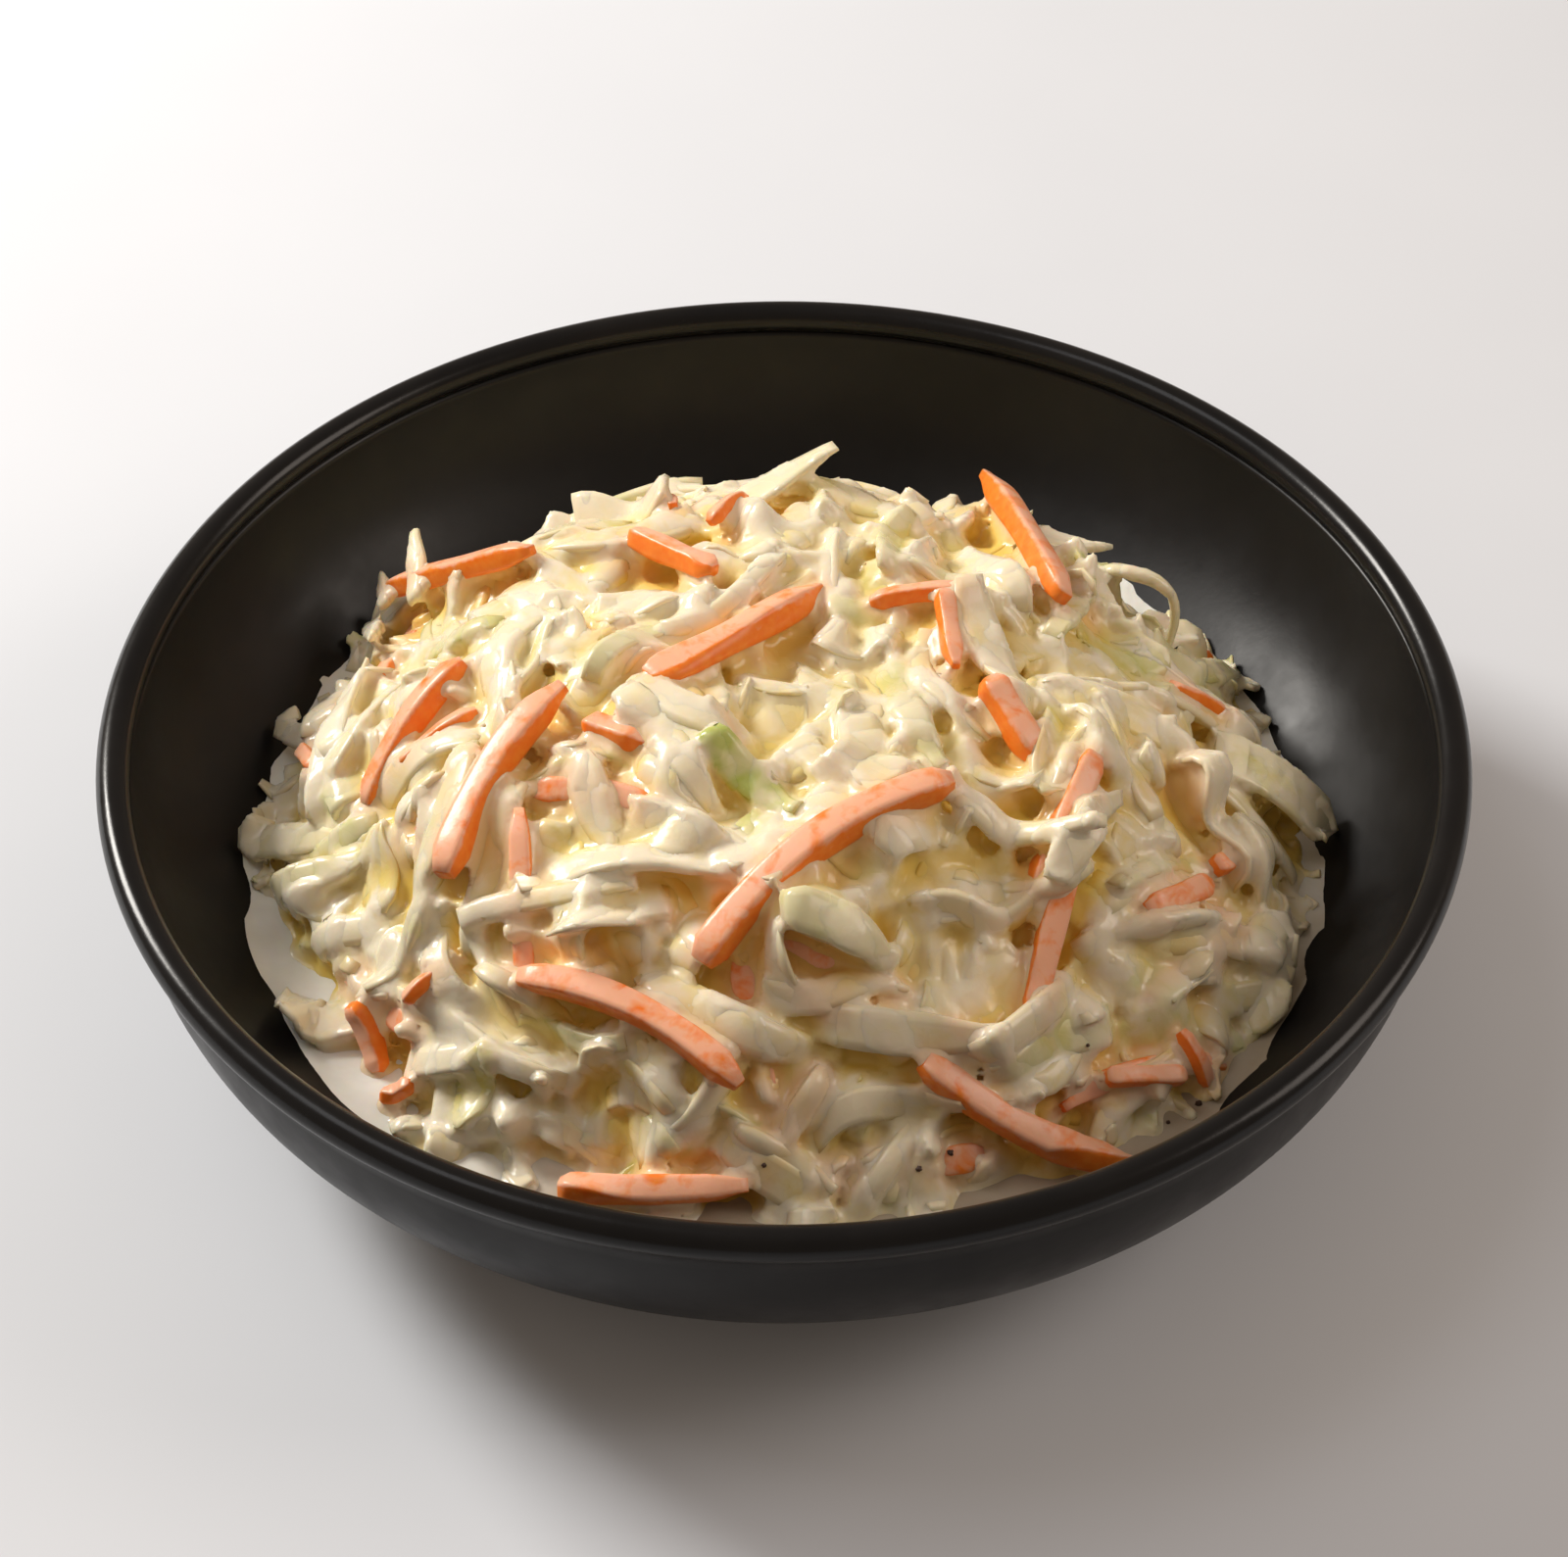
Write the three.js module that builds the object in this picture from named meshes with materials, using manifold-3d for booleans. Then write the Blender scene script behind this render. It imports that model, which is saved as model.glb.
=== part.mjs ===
// Coleslaw in a black stoneware bowl: a heap of shredded cabbage and carrot standing in creamy dressing.
// Millimetres, +Z up. The origin is the centre of the circle that the bowl's foot stands on.

import * as THREE from "three";
import { mergeVertices } from "three/addons/utils/BufferGeometryUtils.js";
import Module from "manifold-3d";

const wasm = await Module();
wasm.setup();

// Bowl
const BOWL_RADIUS = 85;
const RIM_BEAD_RADIUS = 2.1;
const RIM_HEIGHT = 39; // of the bead's centre
const OUTER_WALL_RADIUS = 83;
const INNER_WALL_RADIUS = 81.4;
const BASE_HEIGHT = 3; // underside of the body, above the table
const FLOOR_HEIGHT = 8; // eating surface, above the table
const OUTER_FLAT_RADIUS = 34; // where the underside starts to curve up
const INNER_FLAT_RADIUS = 32; // where the eating surface starts to curve up
const OUTER_WALL_POWER = 2.9; // a higher power gives a steeper wall and a tighter turn below it
const INNER_WALL_POWER = 2.36;
const FOOT_OUTER_RADIUS = 38;
const FOOT_INNER_RADIUS = 34;
const FOOT_RECESS = 2.4; // its depth
const FOOT_DRAFT = 0.8; // how far the foot's inner face leans
const BEAD_ARC = [-45, 225]; // degrees round the bead from the outer wall to the inner one
const BEAD_STEPS = 6;
const UNDER_BEAD = 1.5; // degrees down a wall from the rim, where it meets the bead
const ABOVE_FOOT = 84; // degrees down the outer wall, where the foot's outer face meets it
const WALL_STEPS = 7;
const BOWL_SIDES = 48; // a multiple of 4, so that corners fall on both axes

// Dressing and heap
const GAP = 0.3; // between neighbouring solids
const WALL_GAP = 0.6; // between the contents and the bowl's slanting wall, measured level
const DRESSING_LEVEL = 16.5;
const DRESSING_STEPS = 6;
const HEAP_HEIGHT = 34.5; // above the dressing
const HEAP_RADIUS = 65.2;
const HEAP_OVAL = 1.6; // wider left to right than front to back
const HEAP_LEAN = 2.6; // further out at the back than at the front
const HEAP_POWER = 3; // a higher power gives a flatter top and steeper flanks
const COVER_DEPTH = 2; // thickness of the layer of shreds over the core, on top
const COVER_WIDTH = 2; // and round its waterline
const CORE_FOOT = 0.5; // the core's radius at the eating surface, as a share of that at the waterline
const CORE_SIDES = 32;
const CORE_RINGS = 6; // from the top to the waterline
const CORE_BANDS = CORE_RINGS + 2; // with the two below the waterline
const SLOPE_STEP = 0.5; // over which the heap's slope is measured, to each side

// Shreds
const SINK = 1.3; // of a piece's centre line below the heap's outline
const END_TAPER = 5; // a piece reaches its full width at 1 / END_TAPER of its length from each end
const CARROT_DEPTH = 0.85; // of its width
const CARROT_STEPS = 4;
const CARROT_END = 0.45; // width at the tip, as a share of the full width
const CABBAGE_THICKNESS = 1.7;
const CABBAGE_STEPS = 5;
const CABBAGE_END = 0.5;
const LOOSE_STEPS = 4;
const LOOSE_WIDTHS = [3.2, 5.4];
const LOOSE_LENGTHS = [17, 36];
const LOOSE_BOWS = [-4, 4];
const LOOSE_ARCHES = [-0.5, 1.5];
const LOOSE_ROLLS = [-35, 35]; // degrees
const LOOSE_SINKS = [1.2, 2.4];
const LOOSE_PLACES = 86;
const LOOSE_REACH = 0.95; // how far out their middles lie, as a share of the heap's radius
const NAMED_REACH = 6.5; // round a named piece's middle, where no loose shred starts
const GOLDEN_ANGLE = Math.PI * (3 - Math.sqrt(5));
const SEED = 41;

// Carrot batons that lie on top. x, y is the middle of the chord, heading is in degrees from +X, bow is how
// far the middle stands to the left of the chord, and rise lifts the two ends above the heap.
const CARROTS = [
  { x: 5, y: -32, heading: 35, length: 36, width: 5.2, bow: 3 },
  { x: -6, y: 5, heading: 44, length: 29, width: 5, bow: -1 },
  { x: -14, y: 20, heading: -45, length: 15, width: 4, rise: [1.5, 0] },
  { x: 30, y: 29, heading: -74, length: 35, width: 5, bow: -1, rise: [5, 0] },
  { x: 17, y: 12, heading: 0, length: 12, width: 3 },
  { x: 20.5, y: 5, heading: -83, length: 12, width: 3 },
  { x: 25.5, y: -4.5, heading: -57, length: 22, width: 4.4, bow: -1.5 },
  { x: 33.5, y: -22, heading: -110, length: 21, width: 4.8 },
  { x: 32, y: -33, heading: -104, length: 22, width: 4 },
  { x: -18, y: -46, heading: -26, length: 29, width: 4.4, bow: 2 },
  { x: 29, y: -52, heading: 0, length: 28, width: 4.6, bow: -2 },
  { x: -15, y: -58, heading: -3, length: 22, width: 4.2 },
  { x: -41, y: 30, heading: -38, length: 24, width: 4, bow: -1, rise: [2, 0] },
  { x: -46.5, y: -1, heading: 46, length: 19, width: 4.4, bow: 1 },
  { x: -43.5, y: -4, heading: 24, length: 10, width: 3.4 },
  { x: -33, y: -16, heading: 60, length: 25, width: 4.8, bow: 2 },
  { x: -20.5, y: -12, heading: -32, length: 9, width: 4 },
  { x: -15.5, y: 36, heading: -74, length: 10, width: 3.2, rise: [2, 0] },
  { x: 54, y: 33, heading: -28, length: 7, width: 3.2, rise: [0, 2] },
  { x: 53, y: 10, heading: 13, length: 7, width: 4 },
  { x: 48.5, y: -23, heading: 43, length: 13, width: 4 },
  { x: -50.5, y: -36, heading: -76, length: 7, width: 3.4 },
  { x: 42, y: -43, heading: 24, length: 9, width: 3 },
];

// Cabbage strips and leaf pieces that lie on top. arch lifts the middle, and roll turns a strip on its edge.
const CABBAGE = [
  { x: -16, y: -32, heading: -8, length: 31, width: 4, bow: 2, arch: 1.5 },
  { x: -5, y: -46, heading: -20, length: 25, width: 5.6, bow: -1.5, arch: 1 },
  { x: 29, y: -41, heading: 23, length: 51, width: 4.6, bow: -3, arch: 2 },
  { x: 7, y: -39, heading: -15, length: 14, width: 5, arch: 1 },
  { x: 12, y: -57, heading: 41, length: 12, width: 3 },
  { x: 35, y: -26, heading: 46, length: 12, width: 3.4, arch: 1 },
  { x: 27, y: 3, heading: -67, length: 21, width: 4.6, arch: 1 },
  { x: 16, y: -8, heading: -72, length: 20, width: 5, bow: -1, arch: 1 },
  { x: -4, y: -21, heading: -41, length: 13, width: 4.4, arch: 1 },
  { x: 1, y: 43, heading: 48, length: 18, width: 3.4, bow: 3, rise: [0, 3] },
  { x: 36, y: 41, heading: -10, length: 13, width: 3.4, rise: [0, 3] },
  { x: 45, y: 25, heading: 31, length: 18, width: 3, bow: 2, arch: 6, sink: 3.2 },
  { x: -24, y: 39, heading: -37, length: 17, width: 5.4, rise: [3, 0] },
  { x: -53, y: 29, heading: -82, length: 13, width: 3, rise: [3, 0], sink: 1.8 },
  { x: -62, y: 14, heading: -66, length: 15, width: 3, rise: [5, 0], sink: 2 },
  { x: -63, y: -4, heading: -40, length: 16, width: 5, rise: [4, 0], sink: 2 },
  { x: -23, y: -22, heading: -74, length: 14, width: 5.4, arch: 1 },
  { x: -14, y: -15, heading: -57, length: 20, width: 5, arch: 1 },
  { x: -38, y: -36, heading: -57, length: 21, width: 3.8, bow: -2, arch: 1 },
  { x: 57, y: -28, heading: 40, length: 13, width: 4, rise: [0, 2], sink: 2 },
  { x: -2, y: -8, heading: 0, length: 10, width: 8, arch: 1 },
  { x: 2, y: -54, heading: -136, length: 9, width: 3.4 },
  { x: 0, y: -57, heading: -19, length: 12, width: 3 },
  { x: 47, y: -27, heading: 33, length: 15, width: 3, roll: 40, arch: 2 },
];

// A wall's radius and height above the table, from 0 degrees at the rim to 90 at the flat bottom.
function wallPoint(degrees, rimRadius, flatRadius, bottomHeight, power) {
  const angle = THREE.MathUtils.degToRad(degrees);
  const radius = flatRadius + (rimRadius - flatRadius) * Math.cos(angle);
  const drop = (RIM_HEIGHT - bottomHeight) * Math.sin(angle) ** (2 / power);
  return new THREE.Vector2(radius, RIM_HEIGHT - drop);
}

function outerWallPoint(degrees) {
  return wallPoint(degrees, OUTER_WALL_RADIUS, OUTER_FLAT_RADIUS, BASE_HEIGHT, OUTER_WALL_POWER);
}

function innerWallPoint(degrees) {
  return wallPoint(degrees, INNER_WALL_RADIUS, INNER_FLAT_RADIUS, FLOOR_HEIGHT, INNER_WALL_POWER);
}

function innerWallRadius(height) {
  const depth = Math.min(1, (RIM_HEIGHT - height) / (RIM_HEIGHT - FLOOR_HEIGHT));
  const reach = Math.sqrt(1 - Math.max(0, depth) ** INNER_WALL_POWER);
  return INNER_FLAT_RADIUS + (INNER_WALL_RADIUS - INNER_FLAT_RADIUS) * reach;
}

function innerWallDegrees(height) {
  const depth = (RIM_HEIGHT - height) / (RIM_HEIGHT - FLOOR_HEIGHT);
  return THREE.MathUtils.radToDeg(Math.asin(depth ** (INNER_WALL_POWER / 2)));
}

// Points spread evenly over a range of angles, ends included.
function sweep(from, to, steps, pointAt) {
  return Array.from({ length: steps + 1 }, (_, i) => pointAt(from + ((to - from) * i) / steps));
}

function rimPoint(degrees) {
  const angle = THREE.MathUtils.degToRad(degrees);
  return new THREE.Vector2(
    BOWL_RADIUS - RIM_BEAD_RADIUS + RIM_BEAD_RADIUS * Math.cos(angle),
    RIM_HEIGHT + RIM_BEAD_RADIUS * Math.sin(angle),
  );
}

function bowlGeometry() {
  const profile = [
    new THREE.Vector2(0, FOOT_RECESS),
    new THREE.Vector2(FOOT_INNER_RADIUS - FOOT_DRAFT, FOOT_RECESS),
    new THREE.Vector2(FOOT_INNER_RADIUS, 0),
    new THREE.Vector2(FOOT_OUTER_RADIUS, 0),
    ...sweep(ABOVE_FOOT, UNDER_BEAD, WALL_STEPS, outerWallPoint),
    ...sweep(...BEAD_ARC, BEAD_STEPS, rimPoint),
    ...sweep(UNDER_BEAD, 90, WALL_STEPS, innerWallPoint),
    new THREE.Vector2(0, FLOOR_HEIGHT),
  ];
  return standUp(new THREE.LatheGeometry(profile, BOWL_SIDES));
}

// A lathe turns about +Y: this stands its axis up along +Z.
function standUp(geometry) {
  return geometry.rotateX(Math.PI / 2);
}

function solidOf(geometry) {
  geometry.deleteAttribute("normal");
  geometry.deleteAttribute("uv");
  const merged = mergeVertices(geometry, 1e-4);
  return new wasm.Manifold(
    new wasm.Mesh({
      numProp: 3,
      vertProperties: new Float32Array(merged.attributes.position.array),
      triVerts: new Uint32Array(merged.index.array),
    }),
  );
}

function geometryOf(solid) {
  const mesh = solid.getMesh();
  const geometry = new THREE.BufferGeometry();
  geometry.setAttribute("position", new THREE.BufferAttribute(mesh.vertProperties, 3));
  geometry.setIndex(new THREE.BufferAttribute(mesh.triVerts, 1));
  return geometry;
}

// The largest body of a solid, without loose scraps and without hollows that were sealed inside it.
function largestBody(solid) {
  return solid.decompose().reduce((best, body) => (body.volume() > best.volume() ? body : best));
}

function heapRadius(angle) {
  return HEAP_RADIUS + HEAP_OVAL * Math.cos(2 * angle) + HEAP_LEAN * Math.sin(angle);
}

// Height of the heap's uneven outline at a place, above the table.
function heapTop(x, y) {
  const share = Math.min(1, Math.hypot(x, y) / heapRadius(Math.atan2(y, x)));
  return DRESSING_LEVEL + HEAP_HEIGHT * (1 - share ** HEAP_POWER);
}

// The core under the shreds, from the eating surface to its rounded top, with margin added all round.
function coreGeometry(margin) {
  const core = new THREE.SphereGeometry(1, CORE_SIDES, CORE_BANDS);
  standUp(core);
  const position = core.attributes.position;
  for (let i = 0; i < position.count; i += 1) {
    const angle = Math.atan2(position.getY(i), position.getX(i));
    const ring = Math.round((Math.acos(position.getZ(i)) / Math.PI) * CORE_BANDS);
    const waterline = heapRadius(angle) - COVER_WIDTH;
    let share = Math.sin((Math.min(ring / CORE_RINGS, 1) * Math.PI) / 2);
    let height = DRESSING_LEVEL + (HEAP_HEIGHT - COVER_DEPTH) * (1 - share ** HEAP_POWER) + margin;
    if (ring === CORE_RINGS) height = DRESSING_LEVEL;
    if (ring === CORE_RINGS + 1) share = CORE_FOOT;
    if (ring === CORE_BANDS) share = 0;
    if (ring > CORE_RINGS) height = FLOOR_HEIGHT + GAP - margin;
    const radius = share > 0 ? share * waterline + margin : 0;
    position.setXYZ(i, radius * Math.cos(angle), radius * Math.sin(angle), height);
  }
  return core;
}

// Random numbers from 0 to 1, the same on every run.
function randomFrom(seed) {
  let state = seed;
  return () => {
    state = (Math.imul(state, 1664525) + 1013904223) >>> 0;
    return state / 2 ** 32;
  };
}

// The heap's upward normal at a place.
function heapNormal(x, y) {
  const span = 2 * SLOPE_STEP;
  const alongX = (heapTop(x + SLOPE_STEP, y) - heapTop(x - SLOPE_STEP, y)) / span;
  const alongY = (heapTop(x, y + SLOPE_STEP) - heapTop(x, y - SLOPE_STEP)) / span;
  return new THREE.Vector3(-alongX, -alongY, 1).normalize();
}

// A point on a piece's centre line, lying in the heap's cover and clear of the dressing and the bowl's wall.
function centreLine(piece, thickness, along) {
  const { x, y, heading, length, width, bow = 0, arch = 0, rise = [0, 0], sink = SINK } = piece;
  const turn = THREE.MathUtils.degToRad(heading);
  const hump = 1 - (2 * along - 1) ** 2;
  const forward = (along - 0.5) * length;
  const px = x + forward * Math.cos(turn) - bow * hump * Math.sin(turn);
  const py = y + forward * Math.sin(turn) + bow * hump * Math.cos(turn);
  const lift = (arch * hump - sink) / heapNormal(px, py).z;
  const ends = rise[0] * (1 - along) ** 2 + rise[1] * along ** 2;
  const height = Math.max(heapTop(px, py) + lift + ends, DRESSING_LEVEL + GAP + thickness / 2);
  const reach = innerWallRadius(height - thickness / 2) - WALL_GAP - width / 2;
  const pull = Math.min(1, reach / Math.hypot(px, py));
  return new THREE.Vector3(px * pull, py * pull, height);
}

// A bar of the piece's width and thickness, narrower towards both ends, bent along its centre line.
function pieceGeometry(piece, thickness, steps, endShare) {
  const bar = new THREE.BoxGeometry(1, 1, 1, steps, 1, 1);
  const position = bar.attributes.position;
  const roll = THREE.MathUtils.degToRad(piece.roll ?? 0);
  const halfStep = 1 / steps / 2;
  for (let i = 0; i < position.count; i += 1) {
    const along = position.getX(i) + 0.5;
    const before = centreLine(piece, thickness, Math.max(0, along - halfStep));
    const after = centreLine(piece, thickness, Math.min(1, along + halfStep));
    const point = centreLine(piece, thickness, along);
    const forward = after.sub(before).normalize();
    const side = heapNormal(point.x, point.y).cross(forward).normalize();
    const up = forward.clone().cross(side);
    side.applyAxisAngle(forward, roll);
    up.applyAxisAngle(forward, roll);
    const share = Math.min(1, endShare + (1 - endShare) * END_TAPER * Math.min(along, 1 - along));
    point.addScaledVector(side, position.getY(i) * piece.width * share);
    point.addScaledVector(up, position.getZ(i) * thickness * share);
    position.setXYZ(i, point.x, point.y, Math.max(point.z, DRESSING_LEVEL + GAP));
  }
  return bar;
}

// The shreds between the named pieces, spread evenly by a spiral and turned at random.
function looseShreds() {
  const random = randomFrom(SEED);
  const between = ([low, high]) => low + (high - low) * random();
  const named = [...CARROTS, ...CABBAGE];
  const places = Array.from({ length: LOOSE_PLACES }, (_, i) => {
    const angle = i * GOLDEN_ANGLE;
    const radius = LOOSE_REACH * heapRadius(angle) * Math.sqrt((i + 0.5) / LOOSE_PLACES);
    return { x: radius * Math.cos(angle), y: radius * Math.sin(angle) };
  });
  const bare = places.filter(({ x, y }) =>
    named.every((piece) => Math.hypot(x - piece.x, y - piece.y) > NAMED_REACH),
  );
  return bare.map((place) => {
    return {
      ...place,
      heading: 360 * random(),
      length: between(LOOSE_LENGTHS),
      width: between(LOOSE_WIDTHS),
      bow: between(LOOSE_BOWS),
      arch: between(LOOSE_ARCHES),
      roll: between(LOOSE_ROLLS),
      sink: between(LOOSE_SINKS),
    };
  });
}

function slawGeometry() {
  const carrots = CARROTS.map((piece) =>
    pieceGeometry(piece, CARROT_DEPTH * piece.width, CARROT_STEPS, CARROT_END),
  );
  const strips = CABBAGE.map((piece) =>
    pieceGeometry(piece, CABBAGE_THICKNESS, CABBAGE_STEPS, CABBAGE_END),
  );
  const loose = looseShreds().map((piece) =>
    pieceGeometry(piece, CABBAGE_THICKNESS, LOOSE_STEPS, CABBAGE_END),
  );
  const solids = [coreGeometry(0), ...carrots, ...strips, ...loose].map(solidOf);
  return geometryOf(largestBody(wasm.Manifold.union(solids)));
}

// Dressing fills the bowl up to its level, round the core.
function dressingGeometry() {
  const top = innerWallDegrees(DRESSING_LEVEL);
  const profile = [
    new THREE.Vector2(0, FLOOR_HEIGHT + GAP),
    ...sweep(90, top, DRESSING_STEPS, innerWallPoint).map(
      (point) => new THREE.Vector2(point.x - WALL_GAP, Math.min(point.y + GAP, DRESSING_LEVEL)),
    ),
    new THREE.Vector2(0, DRESSING_LEVEL),
  ];
  const pool = solidOf(standUp(new THREE.LatheGeometry(profile, BOWL_SIDES)));
  return geometryOf(largestBody(pool.subtract(solidOf(coreGeometry(GAP)))));
}

function addNode(group, name, geometry, material) {
  const mesh = new THREE.Mesh(geometry, material);
  mesh.name = name;
  group.add(mesh);
}

const blackGlaze = new THREE.MeshStandardMaterial({ color: 0x1b1b1e, roughness: 0.4, metalness: 0 });
const cream = new THREE.MeshStandardMaterial({ color: 0xf1e6d0, roughness: 0.25, metalness: 0 });
const slawMix = new THREE.MeshStandardMaterial({ color: 0xf0e3c0, roughness: 0.35, metalness: 0 });

const coleslaw = new THREE.Group();
addNode(coleslaw, "bowl", bowlGeometry(), blackGlaze);
addNode(coleslaw, "dressing", dressingGeometry(), cream);
addNode(coleslaw, "slaw", slawGeometry(), slawMix);

export default coleslaw;
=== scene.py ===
"""Coleslaw in a black stoneware bowl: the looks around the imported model.

Shapes are worked out in millimetres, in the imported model's frame (+Z up, origin under the bowl's foot),
and turned into metres when a mesh is made. The bowl and the heap's outline are as in the CAD source.
The larger named pieces follow it, and the small or thin ones are only here.
"""

import math

import bpy
import numpy as np
import openvdb as vdb
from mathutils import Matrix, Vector
from mathutils.bvhtree import BVHTree

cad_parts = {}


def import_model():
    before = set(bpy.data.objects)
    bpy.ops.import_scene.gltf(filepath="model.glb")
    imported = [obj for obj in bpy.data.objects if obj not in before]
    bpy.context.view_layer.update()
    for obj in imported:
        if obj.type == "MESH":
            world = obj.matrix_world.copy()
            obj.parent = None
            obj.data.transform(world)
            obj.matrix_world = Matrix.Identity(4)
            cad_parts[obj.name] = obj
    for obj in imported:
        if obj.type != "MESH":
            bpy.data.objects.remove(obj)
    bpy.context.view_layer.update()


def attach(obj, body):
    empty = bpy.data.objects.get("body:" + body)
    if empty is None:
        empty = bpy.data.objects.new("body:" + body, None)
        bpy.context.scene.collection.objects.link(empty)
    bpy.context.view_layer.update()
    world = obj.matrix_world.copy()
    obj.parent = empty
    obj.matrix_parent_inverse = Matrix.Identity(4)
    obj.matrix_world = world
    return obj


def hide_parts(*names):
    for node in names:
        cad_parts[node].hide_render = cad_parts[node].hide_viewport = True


MM = 0.001

# Bowl, as in the CAD source
BOWL_RADIUS = 85.0
BEAD_RADIUS = 2.1
RIM_HEIGHT = 39.0
OUTER_WALL_RADIUS = 83.0
INNER_WALL_RADIUS = 81.4
BASE_HEIGHT = 3.0
FLOOR_HEIGHT = 8.0
OUTER_FLAT_RADIUS = 34.0
INNER_FLAT_RADIUS = 32.0
OUTER_WALL_POWER = 2.9
INNER_WALL_POWER = 2.36
FOOT_OUTER_RADIUS = 38.0
FOOT_INNER_RADIUS = 34.0
FOOT_RECESS = 2.4
BOWL_SIDES = 192
RIM_DEPTH = 3
RIM_POLISH = 0.56
WALL_CLEARANCE = 0.4

# Heap's outline, as in the CAD source
LEVEL = 16.5
HEAP_HEIGHT = 34.5
HEAP_RADIUS = 65.2
HEAP_OVAL = 1.6
HEAP_LEAN = 2.6
HEAP_POWER = 3

# Pile of shreds over the core, on a flat grid. Heights over the outline are measured square to it.
CORE_DEPTH = 5.5
CORE_TURNS = 220
SKIN = 0.85
CELL = 0.5
FLAT_REACH = 86.0
LUMP_HEIGHT = 1.0
LUMP_SIZE = 17.0
LUMP_SEED = 3
TOP_DIP = 1.4
DIP_REACH = 16
TOP_LIMIT = 51.7
SMOOTHING = 110
SEED = 7

# Loose pieces: how many are tried, when the hidden carrots come, and the random places weighed for each
STRIPS = 520
TOP_STRIPS = 420
HIDDEN_CARROTS = 34
CARROT_TURNS = (40, 442)
FOOT_BITS = 55
HOLLOW_BITS = 150
PLACES = 16
HOLLOW_PLACES = 60

# Kinds of loose strips: lengths, widths, thicknesses, and how round the section's corners are
KINDS = [
    ((16, 32), (2.7, 4.1), (1.2, 1.6), 0.6),
    ((14, 28), (3.9, 5.6), (1.3, 1.8), 0.5),
    ((8, 14), (5.0, 7.8), (1.0, 1.4), 0.85),
]
KIND_SHARES = (0.48, 0.38, 0.14)
ON_EDGE_SHARE = 0.1
POINTED_SHARE = 0.2
GREEN_SHARE = 0.27

# Choice of a loose piece's heading, and how far it may stand over the target, or lie past the foot
HEADINGS = 6
BUMP_WEIGHT = 0.6
MEAN_LIMIT = 1.0
MOST_LIMIT = 2.2
KEPT_LIMIT = 0.1
FOOT_REACH = 4.0

# How a piece takes the shape of what is under it
SUPPORT_REACH = 0.35
BENDS = 4
BEND_LENGTH = 14
PRESS = 0.7
SINK = 0.25
TILT = 0.7

# Sections of the strips and the carrot batons
RINGS = 15
SIDES = 8
CARROT_RINGS = 20
CARROT_SIDES = 16
BATON_BENDS = 2
BATON_BEND = 0.3
BATON_TILT = 0.3
BATON_ROLL = 0.42
NAMED_WIDTH = 0.78
CARROT_RISE = 1.05

# Short named cabbage wider than this is a flat sheet. From these heights it arches open or stands up.
SHEET_WIDTH = 6.2
OPEN_ARCH = 3.0
STANDING = 2.0

# A piece shows if it lies within this depth of the pile's top over more than this share of its cells
SHOWING_DEPTH = 0.5
SHOWING_SHARE = 0.22

# Where the dressing stays open beside the heap, by direction in degrees, and how far in from its foot
CLEAR_FROM = 187
CLEAR_TO = 224
CLEAR_DEPTH = 3.0

# Dressing that binds the shreds: it lies over the strips in patches, and under their tops elsewhere
VOXEL = 0.5
FILLET = 0.85
COAT_TRIANGLES = 180000
COAT_DEPTH = 0.9
COVER = 0.3
UNCOVERED = 0.14
CARROT_UNCOVERED = 0.2
PATCH_SIZE = 3.6
PATCH_SEED = 21
STAIN_REACH = 2.6

# Dressing that stands round the heap, and the slab of it that the shreds' feet blend into
SLAB_TURNS = 160
SLAB_DEPTH = 0.3
UNDERSIDE = LEVEL - 3.0
POOL_TURNS = 256
POOL_RINGS = 34
POOL_START = 40.0
WAVE_HEIGHT = 0.2
WAVE_SIZE = 7
WAVE_SEED = 11

# Specks of pepper: x, y and size
PEPPER = [
    (15.6, -56.7, 0.9),
    (19.6, -55.2, 1.0),
    (21.5, -56.6, 0.6),
    (49.9, -43.5, 0.9),
    (-2.3, -57.4, 0.7),
    (-8.0, -55.5, 0.5),
    (46.0, -46.5, 0.6),
    (36.0, -43.0, 0.5),
    (52.5, -36.0, 0.5),
]
PEPPER_RINGS = 6
PEPPER_SIDES = 9

# Colours
LEAF_PALE = (0.845, 0.74, 0.465)
LEAF_YELLOW = (0.79, 0.645, 0.24)
LEAF_GREEN = (0.42, 0.50, 0.075)
LEAF_FILM = (0.835, 0.76, 0.60)
# Painted shade and painted warm glow for the hollows between the shreds
LEAF_HOLLOW_PAINTED_SHADE = (0.77, 0.54, 0.09)
LEAF_STAIN = (0.90, 0.50, 0.27)
CARROT_DEEP = (0.90, 0.20, 0.018)
CARROT_BRIGHT = (0.94, 0.28, 0.04)
CARROT_FILM = (0.92, 0.52, 0.35)
DRESSING_PALE = (0.92, 0.915, 0.86)
DRESSING_WARM = (0.85, 0.84, 0.76)
# Painted shade for the dressing towards the front and the right
DRESSING_PAINTED_SHADE = (0.36, 0.29, 0.20)
PEPPER_BLACK = (0.020, 0.012, 0.008)
PEPPER_BROWN = (0.09, 0.035, 0.016)
GLAZE_DARK = (0.005, 0.005, 0.0055)
GLAZE_LIGHT = (0.009, 0.0085, 0.0085)
FLOOR_DARK = (0.645, 0.68, 0.735)
FLOOR_LIGHT = (0.685, 0.72, 0.775)

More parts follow.
